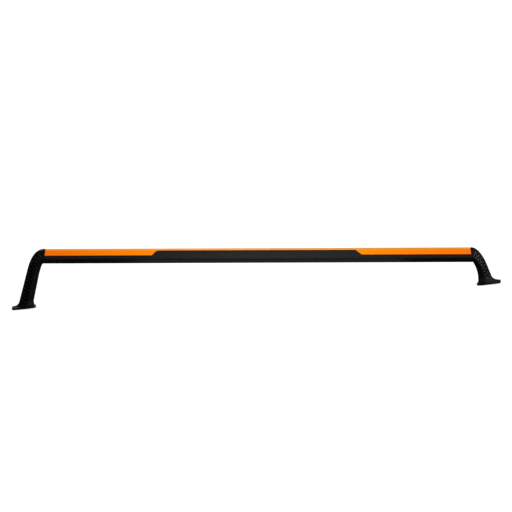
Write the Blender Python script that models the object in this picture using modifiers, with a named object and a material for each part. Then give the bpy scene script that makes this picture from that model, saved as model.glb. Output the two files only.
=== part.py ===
"""Bed cargo bar: a raked bar on two cast legs, built from its separate pieces.

Frame: metres, +X along the bar from the tall leg to the short one, -Y the front, +Z up.
The origin is on the ground, in the middle of the box around the feet.

The beam is drawn in its own frame: u runs along it, v up across it, y keeps the world's depth.
The legs are lofted straight into the world frame. Both soles rise a little towards +X, so the
left foot stands on its toe edge and the right foot on its heel edge when the bar is on a floor.
"""
import math

import bmesh
import bpy
from mathutils import Euler, Matrix, Vector

MM = 0.001

# Beam
RAKE = math.radians(2.85)            # the beam falls this much towards +X
BEAM_MIDDLE_Z = 131.6 * MM           # height of the beam's centre line at u = 0
BEAM_MIDDLE_X = 6.5 * MM
BEAM_LEFT_U = -676.3 * MM
BEAM_RIGHT_U = 686.0 * MM
HALF_HEIGHT = 22.0 * MM              # of the beam's section
BACK_Y = 20.0 * MM
TOP_FRONT_Y = -12.0 * MM             # front edge of the flat top
FOLD_Y = -20.0 * MM                  # the front fold, its most forward line
FOLD_V = -6.5 * MM
BOTTOM_FRONT_Y = -9.0 * MM
JOINT_TILT = math.radians(9.0)       # the joint faces lean over, shorter at the top
GAP = 0.3 * MM                       # between neighbours

# Accent rail and centre cover
RAIL_THICKNESS = 2.0 * MM
RAIL_FRONT_V = 4.8 * MM              # lower edge of the rail on the front
RAIL_BACK_V = 15.5 * MM              # and on the back
COVER_LEFT_U = (-345.0 * MM, -317.0 * MM)     # bottom and top corner of its left end
COVER_RIGHT_U = (350.0 * MM, 316.0 * MM)
COVER_V = (-5.6 * MM, 19.5 * MM)
COVER_THICKNESS = 2.4 * MM
COVER_BEVEL = 0.6 * MM
CLIP_U = (-270.0 * MM, -90.0 * MM, 90.0 * MM, 270.0 * MM)
CLIP_V = 9.0 * MM
CLIP_SHANK_R = 3.0 * MM
CLIP_HEAD_R = 5.0 * MM
CLIP_HEAD_HEIGHT = 1.2 * MM
CLIP_LENGTH = 11.0 * MM

# Joint of beam and leg
SEAL_THICKNESS = 0.7 * MM
TONGUE_LENGTH = 60.0 * MM
TONGUE_CLEARANCE = 0.4 * MM
JOINT_SCREW_OFFSETS = (18.0 * MM, 42.0 * MM)  # from the beam's end
JOINT_SCREW_V = -2.0 * MM
JOINT_SCREW_LENGTH = 16.0 * MM
JOINT_SCREW_R = 3.0 * MM
COVER_SCREW_R = 2.0 * MM
COVER_SCREW_LENGTH = 9.0 * MM

# Feet
SOLE_TILT = math.radians(3.6)        # both soles rise this much towards +X
ANKLE_Z = 26.0 * MM
TOE_X = 781.0 * MM
HEEL_X = 704.0 * MM
FOOT_BACK_Y = 28.0 * MM
FOOT_FRONT_Y = -23.0 * MM
FOOT_RIDGE_Y = -29.0 * MM
FOOT_CORNER = 13.0 * MM              # reach of the foot's rounded corners
FOOT_RIDGE_W = 0.36                  # place of the ridge from heel to toe
OUTER_DROP = 0.63                    # how soon the flare's edges level out, as parts of their drop
INNER_DROP = 0.93
GASKET_THICKNESS = 2.5 * MM
GASKET_TRIM = 0.994                  # the gasket is this much of the sole's length
GASKET_EDGE = 0.346 * MM             # so its end lies this far inside the foot
SOLE_Z = GASKET_THICKNESS + GAP
INSERT_R = 6.0 * MM
INSERT_BORE_R = 3.4 * MM
INSERT_HEIGHT = 12.0 * MM
INSERT_X = 733.0 * MM
INSERT_Y = (-9.0 * MM, 11.0 * MM)
TOE_HOLE_R = 4.25 * MM
TOE_HOLE_X = 768.0 * MM
TOE_HOLE_Y = 3.0 * MM

LEG_PROUD = 1.0 * MM                 # the leg stands this much proud of the beam's section

# Leg shape along its path: 0 joint, 1 end of the bend, 2 ankle, 3 top of the foot's flange
BEND_RINGS = 9
SHANK_RINGS = 3
FLARE_RINGS = 7
LATTICE_SPAN = (0.16, 2.05)
LATTICE_MARGINS = (0.13, 0.87)       # across the outer facet, from the ridge
LATTICE_PITCH = 13.7 * MM
LATTICE_RIB = 2.4 * MM
LATTICE_THICKNESS = 1.6 * MM
RECESS_DEPTH = 2.6 * MM
RECESS_CLEARANCE = 0.03              # of the facet's width, each side of the panel
POCKET_TOP = 0.8                     # path value
POCKET_BOTTOM_Z = 38.0 * MM
POCKET_SIDES = (0.2, 0.8)
POCKET_FRONT_Y = -1.0 * MM
BACK_COVER_TOP = 0.5                 # path value
BACK_COVER_BOTTOM_Z = 24.0 * MM
BACK_COVER_SIDES = (0.12, 0.88)
BACK_COVER_THICKNESS = 2.0 * MM
COVER_SCREW_TOP = 0.62               # path value
COVER_SCREW_BOTTOM_Z = 31.0 * MM

MATERIALS = {
    "black_anodised": ((0.018, 0.018, 0.020, 1.0), 0.38, 0.7),
    "orange_coat": ((0.90, 0.22, 0.01, 1.0), 0.35, 0.2),
    "cover_plastic": ((0.030, 0.030, 0.032, 1.0), 0.55, 0.0),
    "leg_coat": ((0.020, 0.020, 0.022, 1.0), 0.50, 0.1),
    "lattice_plastic": ((0.035, 0.035, 0.037, 1.0), 0.45, 0.0),
    "rubber": ((0.022, 0.022, 0.022, 1.0), 0.85, 0.0),
    "screw_steel": ((0.06, 0.06, 0.065, 1.0), 0.35, 0.9),
    "brass": ((0.55, 0.38, 0.14, 1.0), 0.35, 1.0),
}


# ---------------------------------------------------------------- Blender helpers

def clear_scene():
    for old in list(bpy.data.objects):
        bpy.data.objects.remove(old, do_unlink=True)


def make_collection(name):
    collection = bpy.data.collections.new(name)
    bpy.context.scene.collection.children.link(collection)
    return collection


def make_material(name):
    color, roughness, metallic = MATERIALS[name]
    material = bpy.data.materials.new(name)
    material.use_nodes = True
    shader = material.node_tree.nodes["Principled BSDF"]
    shader.inputs["Base Color"].default_value = color
    shader.inputs["Roughness"].default_value = roughness
    shader.inputs["Metallic"].default_value = metallic
    material.diffuse_color = color
    return material


def add_piece(name, data, material):
    piece = bpy.data.objects.new(name, data)
    PARTS.objects.link(piece)
    if not data.materials:
        data.materials.append(PAINTS[material])
    return piece


def add_cutter(name, mesh):
    cutter = bpy.data.objects.new(name, mesh)
    CUTTERS.objects.link(cutter)
    cutter.hide_render = True
    cutter.display_type = "WIRE"
    return cutter


def combine(piece, other, operation="DIFFERENCE"):
    modifier = piece.modifiers.new(other.name, "BOOLEAN")
    modifier.operation = operation
    modifier.object = other


def mesh_from(name, build, *arguments):
    """A mesh made by a function that fills a bmesh."""
    shape = bmesh.new()
    build(shape, *arguments)
    bmesh.ops.recalc_face_normals(shape, faces=shape.faces)
    mesh = bpy.data.meshes.new(name)
    shape.to_mesh(mesh)
    shape.free()
    return mesh


def cylinder_mesh(name, radius, length, segments=24):
    def build(shape):
        bmesh.ops.create_cone(shape, cap_ends=True, segments=segments, radius1=radius,
                              radius2=radius, depth=length)
    return mesh_from(name, build)


def flat_outline_mesh(name, outlines, thickness):
    """A plate from closed outlines; the first is its edge and the others are holes."""
    curve = bpy.data.curves.new(name, "CURVE")
    curve.dimensions = "2D"
    curve.fill_mode = "BOTH"
    curve.extrude = thickness / 2
    for outline in outlines:
        spline = curve.splines.new("POLY")
        spline.points.add(len(outline) - 1)
        for point, (x, y) in zip(spline.points, outline):
            point.co = (x, y, 0.0, 1.0)
        spline.use_cyclic_u = True
    guide = bpy.data.objects.new(name, curve)
    CUTTERS.objects.link(guide)
    bpy.context.view_layer.update()
    mesh = bpy.data.meshes.new_from_object(guide.evaluated_get(bpy.context.evaluated_depsgraph_get()))
    bpy.data.objects.remove(guide, do_unlink=True)
    bpy.data.curves.remove(curve)
    shape = bmesh.new()
    shape.from_mesh(mesh)
    bmesh.ops.remove_doubles(shape, verts=shape.verts, dist=1e-6)
    bmesh.ops.recalc_face_normals(shape, faces=shape.faces)
    shape.to_mesh(mesh)
    shape.free()
    mesh.name = name
    return mesh


def turned_piece(name, profile, material, segments=20):
    """A piece turned round Z from (radius, height) points that run from top to bottom."""
    mesh = bpy.data.meshes.new(name)
    points = [(radius, 0.0, height) for radius, height in profile]
    mesh.from_pydata(points, [(i, i + 1) for i in range(len(points) - 1)], [])
    piece = add_piece(name, mesh, material)
    screw = piece.modifiers.new("Turn", "SCREW")
    screw.steps = screw.render_steps = segments
    screw.use_merge_vertices = True
    screw.merge_threshold = 0.00001
    screw.use_smooth_shade = False
    return piece


# ---------------------------------------------------------------- outlines

def rounded(corners, radii, steps=3):
    """A closed outline with each corner replaced by a short curve of the given reach."""
    points = []
    count = len(corners)
    for i, (corner, radius) in enumerate(zip(corners, radii)):
        corner = Vector(corner)
        start = corner + (Vector(corners[i - 1]) - corner).normalized() * radius
        end = corner + (Vector(corners[(i + 1) % count]) - corner).normalized() * radius
        for k in range(steps + 1):
            t = k / steps
            points.append(start * (1 - t) ** 2 + corner * 2 * t * (1 - t) + end * t ** 2)
    return points


def bezier(p0, p1, p2, p3, t):
    points = (Vector(p0), Vector(p1), Vector(p2), Vector(p3))
    weights = ((1 - t) ** 3, 3 * t * (1 - t) ** 2, 3 * t * t * (1 - t), t ** 3)
    return sum((point * weight for point, weight in zip(points, weights)), Vector((0.0,) * len(p0)))


def smooth(t):
    t = min(max(t, 0.0), 1.0)
    return t * t * (3 - 2 * t)


def mix(a, b, t):
    return a + (b - a) * t


def front_y(v):
    """Depth of the beam's upper front facet at a height."""
    return mix(FOLD_Y, TOP_FRONT_Y, (v - FOLD_V) / (HALF_HEIGHT - FOLD_V))


FACET_ANGLE = math.atan2(HALF_HEIGHT - FOLD_V, TOP_FRONT_Y - FOLD_Y)   # of the facet, from level
FACET_UP = Vector((0.0, math.cos(FACET_ANGLE), math.sin(FACET_ANGLE)))
FACET_OUT = Vector((0.0, -math.sin(FACET_ANGLE), math.cos(FACET_ANGLE)))


def inside_front(v, inset):
    """Depth at a height on the line that lies inside the upper facet by an inset."""
    return front_y(v) + inset / math.sin(FACET_ANGLE)


ENVELOPE = (
    (BACK_Y, HALF_HEIGHT), (TOP_FRONT_Y, HALF_HEIGHT), (FOLD_Y, FOLD_V),
    (BOTTOM_FRONT_Y, -HALF_HEIGHT), (BACK_Y, -HALF_HEIGHT),
)
ENVELOPE_RADII = (4.0 * MM, 2.0 * MM, 1.5 * MM, 2.5 * MM, 4.0 * MM)
HOLLOW = (
    (14.7 * MM, 16.2 * MM), (-9.0 * MM, 16.2 * MM), (-15.8 * MM, -6.8 * MM),
    (-7.3 * MM, -18.3 * MM), (14.7 * MM, -18.3 * MM),
)


def shrink(corners, distance):
    """The outline of a convex shape moved inwards by a distance."""
    moved = []
    count = len(corners)
    for i, corner in enumerate(corners):
        here = Vector(corner)
        before = (here - Vector(corners[i - 1])).normalized()
        after = (Vector(corners[(i + 1) % count]) - here).normalized()
        normal = (Vector((-before.y, before.x)) + Vector((-after.y, after.x))).normalized()
        reach = distance / normal.dot(Vector((-before.y, before.x)))
        moved.append(here + normal * reach)
    return moved


# ---------------------------------------------------------------- beam pieces

def place_on_beam(piece, u=0.0, y=0.0, v=0.0, turn=(0.0, 0.0, 0.0)):
    piece.parent = BAR_FRAME
    piece.location = (u, y, v)
    piece.rotation_euler = turn


UNCUT_LENGTH = BEAM_RIGHT_U - BEAM_LEFT_U + 2 * HALF_HEIGHT
ALONG_BEAM = (math.pi / 2, 0.0, math.pi / 2)     # outline x to depth, y to height, thickness to u
INTO_BACK = (-math.pi / 2, 0.0, 0.0)             # a screw's +Z points out of the back
OUT_OF_FACET = (FACET_ANGLE, 0.0, 0.0)
OUT_OF_SOLE = (0.0, -SOLE_TILT, 0.0)             # a foot's fixings point up from its sole


def joint_screw_places():
    for side, end in ((1, BEAM_LEFT_U), (-1, BEAM_RIGHT_U)):
        for offset in JOINT_SCREW_OFFSETS:
            yield end + side * offset


def cut_on_beam(piece, name, radius, length, **place):
    hole = add_cutter(name, cylinder_mesh(name, radius, length))
    place_on_beam(hole, **place)
    combine(piece, hole)


def cut_ends(piece):
    """Cuts the beam's ends along the tilted joint faces."""
    size = 100 * MM

    def cube(shape):
        bmesh.ops.create_cube(shape, size=size)

    for side, end in ((-1, BEAM_LEFT_U), (1, BEAM_RIGHT_U)):
        block = add_cutter(f"{piece.name}_end_{side}", mesh_from("end_block", cube))
        place_on_beam(block, u=end + side * math.cos(JOINT_TILT) * size / 2,
                      v=math.sin(JOINT_TILT) * size / 2, turn=(0.0, -side * JOINT_TILT, 0.0))
        combine(piece, block)


def cut_clip_holes(piece, radius, start, depth):
    """Holes along the facet's normal, from a start height on it (negative is inside)."""
    for i, u in enumerate(CLIP_U, 1):
        middle = start - depth / 2
        cut_on_beam(piece, f"{piece.name}_clip_hole_{i}", radius, depth, u=u,
                    y=front_y(CLIP_V) + FACET_OUT.y * middle, v=CLIP_V + FACET_OUT.z * middle,
                    turn=OUT_OF_FACET)


def build_beam_extrusion():
    step = RAIL_THICKNESS + GAP
    top_v = HALF_HEIGHT - step
    outline = rounded(
        [
            (BACK_Y, RAIL_BACK_V - GAP), (BACK_Y - step, RAIL_BACK_V - GAP), (BACK_Y - step, top_v),
            (inside_front(top_v, step), top_v), (inside_front(RAIL_FRONT_V - GAP, step), RAIL_FRONT_V - GAP),
            (front_y(RAIL_FRONT_V - GAP), RAIL_FRONT_V - GAP), (FOLD_Y, FOLD_V),
            (BOTTOM_FRONT_Y, -HALF_HEIGHT), (BACK_Y, -HALF_HEIGHT),
        ],
        [0.3 * MM, 0.3 * MM, 2.0 * MM, 1.0 * MM, 0.3 * MM, 0.4 * MM, 1.5 * MM, 2.5 * MM, 4.0 * MM],
    )
    hollow = rounded(HOLLOW, [2.0 * MM] * len(HOLLOW))
    mesh = flat_outline_mesh("beam_extrusion", (outline, hollow), UNCUT_LENGTH)
    beam = add_piece("beam_extrusion", mesh, "black_anodised")
    place_on_beam(beam, u=(BEAM_LEFT_U + BEAM_RIGHT_U) / 2, turn=ALONG_BEAM)
    cut_ends(beam)
    for i, u in enumerate(joint_screw_places(), 1):
        cut_on_beam(beam, f"beam_screw_hole_{i}", JOINT_SCREW_R + GAP, 14 * MM, u=u, y=BACK_Y,
                    v=JOINT_SCREW_V, turn=INTO_BACK)
    cut_clip_holes(beam, CLIP_SHANK_R + GAP, 0.0, 8 * MM)


def build_accent_rail():
    inner_top = HALF_HEIGHT - RAIL_THICKNESS
    outline = rounded(
        [
            (BACK_Y, RAIL_BACK_V), (BACK_Y, HALF_HEIGHT), (TOP_FRONT_Y, HALF_HEIGHT),
            (front_y(RAIL_FRONT_V), RAIL_FRONT_V), (inside_front(RAIL_FRONT_V, RAIL_THICKNESS), RAIL_FRONT_V),
            (inside_front(inner_top, RAIL_THICKNESS), inner_top), (BACK_Y - RAIL_THICKNESS, inner_top),
            (BACK_Y - RAIL_THICKNESS, RAIL_BACK_V),
        ],
        [0.4 * MM, 4.0 * MM, 2.0 * MM, 0.4 * MM, 0.4 * MM, 0.8 * MM, 2.0 * MM, 0.4 * MM],
    )
    mesh = flat_outline_mesh("accent_rail", (outline,), UNCUT_LENGTH)
    rail = add_piece("accent_rail", mesh, "orange_coat")
    place_on_beam(rail, u=(BEAM_LEFT_U + BEAM_RIGHT_U) / 2, turn=ALONG_BEAM)
    cut_ends(rail)
    cut_clip_holes(rail, CLIP_SHANK_R + GAP, 2 * MM, 6 * MM)


def build_center_cover():
    """A thin plate on the facet, with its outer edges bevelled and blind seats for the clips."""
    low, high = COVER_V
    slope = math.sin(FACET_ANGLE)
    outline = (
        (COVER_LEFT_U[0], (low - CLIP_V) / slope), (COVER_RIGHT_U[0], (low - CLIP_V) / slope),
        (COVER_RIGHT_U[1], (high - CLIP_V) / slope), (COVER_LEFT_U[1], (high - CLIP_V) / slope),
    )
    cover = add_piece("center_cover", flat_outline_mesh("center_cover", (outline,), COVER_THICKNESS),
                      "cover_plastic")
    lift = GAP + COVER_THICKNESS / 2
    place_on_beam(cover, y=front_y(CLIP_V) + FACET_OUT.y * lift, v=CLIP_V + FACET_OUT.z * lift,
                  turn=OUT_OF_FACET)
    bevel = cover.modifiers.new("Edges", "BEVEL")
    bevel.width = COVER_BEVEL
    bevel.segments = 2
    bevel.limit_method = "ANGLE"
    cut_clip_holes(cover, CLIP_HEAD_R + GAP, GAP + CLIP_HEAD_HEIGHT + GAP, 4 * MM)


def build_cover_clips():
    """Push-in clips: a flat head held by the cover, and a barbed shank through rail and beam."""
    barbs = []
    height = -2.6 * MM
    while height > -CLIP_LENGTH + 2 * MM:
        barbs += [(CLIP_SHANK_R - 0.1 * MM, height), (CLIP_SHANK_R * 0.72, height - 0.7 * MM)]
        height -= 1.6 * MM
    profile = (
        [(0.0, CLIP_HEAD_HEIGHT), (CLIP_HEAD_R, CLIP_HEAD_HEIGHT), (CLIP_HEAD_R, 0.05 * MM),
         (CLIP_SHANK_R * 0.9, 0.05 * MM)]
        + barbs
        + [(CLIP_SHANK_R * 0.45, -CLIP_LENGTH), (0.0, -CLIP_LENGTH)]
    )
    for i, u in enumerate(CLIP_U, 1):
        clip = turned_piece(f"cover_clip_{i}", profile, "cover_plastic", segments=16)
        lift = GAP
        place_on_beam(clip, u=u, y=front_y(CLIP_V) + FACET_OUT.y * lift,
                      v=CLIP_V + FACET_OUT.z * lift, turn=OUT_OF_FACET)


def button_head(radius):
    """Profile of a button-head screw whose head rests at height 0."""
    return [(0.0, radius * 1.0), (radius * 0.9, radius * 0.94), (radius * 1.5, radius * 0.62),
            (radius * 1.75, radius * 0.2), (radius * 1.75, 0.0), (radius, 0.0)]


def build_joint_screws():
    profile = button_head(JOINT_SCREW_R) + [(JOINT_SCREW_R, -JOINT_SCREW_LENGTH), (0.0, -JOINT_SCREW_LENGTH)]
    names = [f"{side}_joint_screw_{i}" for side in ("left", "right") for i in (1, 2)]
    for name, u in zip(names, joint_screw_places()):
        screw = turned_piece(name, profile, "screw_steel")
        place_on_beam(screw, u=u, y=BACK_Y + GAP / 2, v=JOINT_SCREW_V, turn=INTO_BACK)


def build_joint_seals():
    outline = rounded(shrink(ENVELOPE, 0.6 * MM), ENVELOPE_RADII)
    hole = rounded(shrink(HOLLOW, -TONGUE_CLEARANCE), [2.0 * MM] * len(HOLLOW))
    for name, end, side in (("left_joint_seal", BEAM_LEFT_U, -1), ("right_joint_seal", BEAM_RIGHT_U, 1)):
        seal = add_piece(name, flat_outline_mesh(name, (outline, hole), SEAL_THICKNESS), "rubber")
        tilt = Matrix.Rotation(-side * JOINT_TILT, 3, "Y") @ Euler(ALONG_BEAM).to_matrix()
        place_on_beam(seal, u=end + side * (GAP + SEAL_THICKNESS / 2) / math.cos(JOINT_TILT),
                      turn=tilt.to_euler())


# ---------------------------------------------------------------- legs

def beam_to_world(u, v):
    return Vector((BEAM_MIDDLE_X + u * math.cos(RAKE) + v * math.sin(RAKE),
                   BEAM_MIDDLE_Z - u * math.sin(RAKE) + v * math.cos(RAKE)))


class Leg:
    """One cast leg, described by a path value s: 0 joint, 1 bend end, 2 ankle, 3 flange top.

    outline(s) gives its outer and inner edge in the world's X and Z, and corners(s) the five
    corners of its section: top back, top front, ridge, bottom front and bottom back.
    """

    def __init__(self, name, side, joint_u, outer_bend, inner_bend, ridge_w,
                 ankle_outer_x, ankle_inner_x, toe_thickness, heel_thickness):
        self.name = name
        self.side = side
        self.joint_u = joint_u
        self.outer_bend = outer_bend     # curve points in millimetres: out from the joint, and up
        self.inner_bend = inner_bend
        self.ridge_w = ridge_w           # place of the ridge across the shank, from its inner edge
        self.ankle = (Vector((side * ankle_outer_x, ANKLE_Z)), Vector((side * ankle_inner_x, ANKLE_Z)))
        self.low_x = (-TOE_X if side < 0 else HEEL_X) + GASKET_EDGE    # where the sole meets the floor
        self.toe = Vector((side * TOE_X, self.ground(side * TOE_X) + toe_thickness))
        self.heel = Vector((side * HEEL_X, self.ground(side * HEEL_X) + heel_thickness))

    def ground(self, x):
        """Height of the gasket's underside above the floor."""
        return (x - self.low_x) * math.tan(SOLE_TILT)

    def bend_point(self, curve, t):
        out, up = bezier(*curve, t) * MM
        return beam_to_world(self.joint_u + self.side * out, up)

    def outline(self, s):
        if s <= 1:
            return self.bend_point(self.outer_bend, s), self.bend_point(self.inner_bend, s)
        if s <= 2:
            ends = self.bend_point(self.outer_bend, 1), self.bend_point(self.inner_bend, 1)
            return tuple(end.lerp(ankle, s - 1) for end, ankle in zip(ends, self.ankle))
        return self.flare(s - 2)

    def flare(self, t):
        outer, inner = self.ankle
        out = Vector((self.side * MM, 0.0))
        up = Vector((0.0, MM))
        outer_drop = Vector((0.0, (self.toe.y - outer.y) * OUTER_DROP))
        inner_drop = Vector((0.0, (self.heel.y - inner.y) * INNER_DROP))
        return (
            bezier(outer, outer + out * 3 + outer_drop, self.toe - out * 17 + up * 2, self.toe, t),
            bezier(inner, inner + inner_drop, self.heel + out * 4 + up * 0.6, self.heel, t),
        )

    def corners(self, s):
        bend = smooth(s)
        top_front = mix(TOP_FRONT_Y, -8.0 * MM, bend)
        ridge_w = mix((FOLD_V + HALF_HEIGHT) / (2 * HALF_HEIGHT), self.ridge_w, bend)
        bottom_front = mix(BOTTOM_FRONT_Y, -8.0 * MM, bend)
        back, ridge = BACK_Y, FOLD_Y - LEG_PROUD
        if s > 2:
            outer, _ = self.outline(s)
            spread = abs(outer.x - self.ankle[0].x) / (TOE_X - abs(self.ankle[0].x))
            top_front = mix(top_front, FOOT_FRONT_Y, spread)
            bottom_front = mix(bottom_front, FOOT_FRONT_Y, spread)
            ridge_w = mix(ridge_w, FOOT_RIDGE_W, spread)
            back = mix(back, FOOT_BACK_Y, spread)
            ridge = mix(ridge, FOOT_RIDGE_Y, spread)
        outer, inner = self.outline(s)
        middle = inner.lerp(outer, ridge_w)
        return [
            Vector((outer.x, back, outer.y)), Vector((outer.x, top_front, outer.y)),
            Vector((middle.x, ridge, middle.y)),
            Vector((inner.x, bottom_front, inner.y)), Vector((inner.x, back, inner.y)),
        ]

    def ring(self, s):
        foot = smooth(s - 2)
        radii = [mix(radius, FOOT_CORNER, foot) for radius in ENVELOPE_RADII]
        return rounded(self.corners(s), radii)

    def facet_point(self, s, across, lift=0.0):
        """A point on the outer facet, across it from the ridge, lifted off it."""
        _, edge, ridge, _, _ = self.corners(s)
        _, edge_on, ridge_on, _, _ = self.corners(s + 0.01)
        along = (edge_on + ridge_on) - (edge + ridge)
        normal = (edge - ridge).cross(along).normalized()
        if normal.y > 0:
            normal = -normal
        return ridge.lerp(edge, across) + normal * lift

    def value_at_height(self, z):
        """Path value where the middle of the outline is at a height."""
        low, high = 0.0, 3.0
        for _ in range(40):
            s = (low + high) / 2
            outer, inner = self.outline(s)
            if (outer.y + inner.y) / 2 > z:
                low = s
            else:
                high = s
        return low

    def cover_screw_values(self):
        return COVER_SCREW_TOP, self.value_at_height(COVER_SCREW_BOTTOM_Z)

    def back_point(self, s, across, y):
        outer, inner = self.outline(s)
        point = inner.lerp(outer, across)
        return Vector((point.x, y, point.y))


def steps(start, end, count):
    return [mix(start, end, i / (count - 1)) for i in range(count)]


def loft(shape, rings):
    """A closed solid through rings of equal point counts, with flat ends."""
    rows = [[shape.verts.new(point) for point in ring] for ring in rings]
    count = len(rows[0])
    for row, following in zip(rows, rows[1:]):
        for i in range(count):
            j = (i + 1) % count
            shape.faces.new((row[i], row[j], following[j], following[i]))
    shape.faces.new(reversed(rows[0]))
    shape.faces.new(rows[-1])


def facet_slab(leg, span, sides, lifts, count=16):
    rings = []
    for s in steps(*span, count):
        rings.append([leg.facet_point(s, sides[0], lifts[0]), leg.facet_point(s, sides[1], lifts[0]),
                      leg.facet_point(s, sides[1], lifts[1]), leg.facet_point(s, sides[0], lifts[1])])
    return rings


def back_slab(leg, span, sides, depths, count=12):
    rings = []
    for s in steps(*span, count):
        rings.append([leg.back_point(s, sides[0], depths[0]), leg.back_point(s, sides[1], depths[0]),
                      leg.back_point(s, sides[1], depths[1]), leg.back_point(s, sides[0], depths[1])])
    return rings


def cut_upright(piece, name, radius, length, place, turn=(0.0, 0.0, 0.0)):
    hole = add_cutter(name, cylinder_mesh(name, radius, length))
    hole.location = place
    hole.rotation_euler = turn
    combine(piece, hole)


def insert_places(leg):
    x = leg.side * INSERT_X
    for label, y in zip(("front", "rear"), INSERT_Y):
        yield label, Vector((x, y, leg.ground(x) + SOLE_Z))


def toe_hole_place(leg):
    x = leg.side * TOE_HOLE_X
    return Vector((x, TOE_HOLE_Y, leg.ground(x) + SOLE_Z))


def build_leg(leg):
    stations = (steps(0, 1, BEND_RINGS) + steps(1, 2, SHANK_RINGS)[1:] + steps(2, 3, FLARE_RINGS)[1:])
    rings = [leg.ring(s) for s in stations]
    rings.append([Vector((point.x, point.y, leg.ground(point.x) + SOLE_Z)) for point in rings[-1]])
    piece = add_piece(f"{leg.name}_leg", mesh_from(f"{leg.name}_leg", loft, rings), "leg_coat")

    tongue_outline = rounded(shrink(HOLLOW, TONGUE_CLEARANCE), [2.0 * MM] * len(HOLLOW))
    tongue_mesh = flat_outline_mesh("tongue", (tongue_outline,), TONGUE_LENGTH + 6 * MM)
    tongue = add_cutter(f"{leg.name}_tongue", tongue_mesh)
    place_on_beam(tongue, u=leg.joint_u - leg.side * (TONGUE_LENGTH - 6 * MM) / 2, turn=ALONG_BEAM)
    combine(piece, tongue, "UNION")

    recess = facet_slab(leg, (LATTICE_SPAN[0] - 0.01, LATTICE_SPAN[1] + 0.01),
                        (LATTICE_MARGINS[0] - RECESS_CLEARANCE, LATTICE_MARGINS[1] + RECESS_CLEARANCE),
                        (-RECESS_DEPTH, 4 * MM))
    combine(piece, add_cutter(f"{leg.name}_recess", mesh_from("recess", loft, recess)))

    pocket = back_slab(leg, (POCKET_TOP, leg.value_at_height(POCKET_BOTTOM_Z)), POCKET_SIDES,
                       (POCKET_FRONT_Y, BACK_Y + 4 * MM))
    combine(piece, add_cutter(f"{leg.name}_pocket", mesh_from("pocket", loft, pocket)))
    seat = back_slab(leg, (BACK_COVER_TOP - 0.01, leg.value_at_height(BACK_COVER_BOTTOM_Z - GAP)),
                     (BACK_COVER_SIDES[0] - 0.01, BACK_COVER_SIDES[1] + 0.01),
                     (BACK_Y - BACK_COVER_THICKNESS - GAP, BACK_Y + 12 * MM))
    combine(piece, add_cutter(f"{leg.name}_cover_seat", mesh_from("seat", loft, seat)))

    for i, u in enumerate(joint_screw_places(), 1):
        if (u > 0) == (leg.side > 0):
            cut_on_beam(piece, f"{leg.name}_tongue_hole_{i}", JOINT_SCREW_R + GAP, 2 * JOINT_SCREW_LENGTH,
                        u=u, y=BACK_Y - 1.0 * MM, v=JOINT_SCREW_V, turn=INTO_BACK)
    for i, s in enumerate(leg.cover_screw_values(), 1):
        cut_upright(piece, f"{leg.name}_cover_hole_{i}", COVER_SCREW_R + GAP, 2 * COVER_SCREW_LENGTH,
                    leg.back_point(s, 0.5, BACK_Y - 1.0 * MM), INTO_BACK)
    for label, place in insert_places(leg):
        cut_upright(piece, f"{leg.name}_{label}_socket", INSERT_R + GAP, 2 * (INSERT_HEIGHT + GAP),
                    place, OUT_OF_SOLE)
    cut_upright(piece, f"{leg.name}_toe_hole", TOE_HOLE_R, 40 * MM, toe_hole_place(leg), OUT_OF_SOLE)


def build_lattice_panel(leg):
    """A zigzag of triangles along the facet, each opened to a window, then given thickness."""
    low, high = LATTICE_SPAN
    fine = steps(low, high, 200)
    middles = [leg.facet_point(s, 0.5) for s in fine]
    lengths = [0.0]
    for here, there in zip(middles, middles[1:]):
        lengths.append(lengths[-1] + (there - here).length)
    cells = 2 * round(lengths[-1] / LATTICE_PITCH)

    def path_value(distance):
        for i in range(1, len(lengths)):
            if lengths[i] >= distance:
                part = (distance - lengths[i - 1]) / (lengths[i] - lengths[i - 1])
                return mix(fine[i - 1], fine[i], part)
        return high

    shape = bmesh.new()
    lift = GAP - RECESS_DEPTH
    near, far = LATTICE_MARGINS
    half = lengths[-1] / cells

    def corner(i, across):
        return shape.verts.new(leg.facet_point(path_value(i * half), across, lift))

    zigzag = [corner(i, near if i % 2 == 0 else far) for i in range(cells + 1)]
    start = corner(0, far)
    end = corner(cells, far)
    faces = [shape.faces.new((start, zigzag[0], zigzag[1]))]
    faces += [shape.faces.new(zigzag[i:i + 3]) for i in range(cells - 1)]
    faces.append(shape.faces.new((zigzag[cells - 1], zigzag[cells], end)))
    bmesh.ops.recalc_face_normals(shape, faces=shape.faces)
    if faces[0].normal.y > 0:
        bmesh.ops.reverse_faces(shape, faces=shape.faces)
    inner = bmesh.ops.inset_individual(shape, faces=list(shape.faces), thickness=LATTICE_RIB / 2,
                                       use_even_offset=True)
    rims = set(inner["faces"])
    bmesh.ops.delete(shape, geom=[face for face in shape.faces if face not in rims], context="FACES")
    mesh = bpy.data.meshes.new(f"{leg.name}_lattice_panel")
    shape.to_mesh(mesh)
    shape.free()
    panel = add_piece(f"{leg.name}_lattice_panel", mesh, "lattice_plastic")
    thicken = panel.modifiers.new("Thickness", "SOLIDIFY")
    thicken.thickness = LATTICE_THICKNESS
    thicken.offset = 1.0


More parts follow.
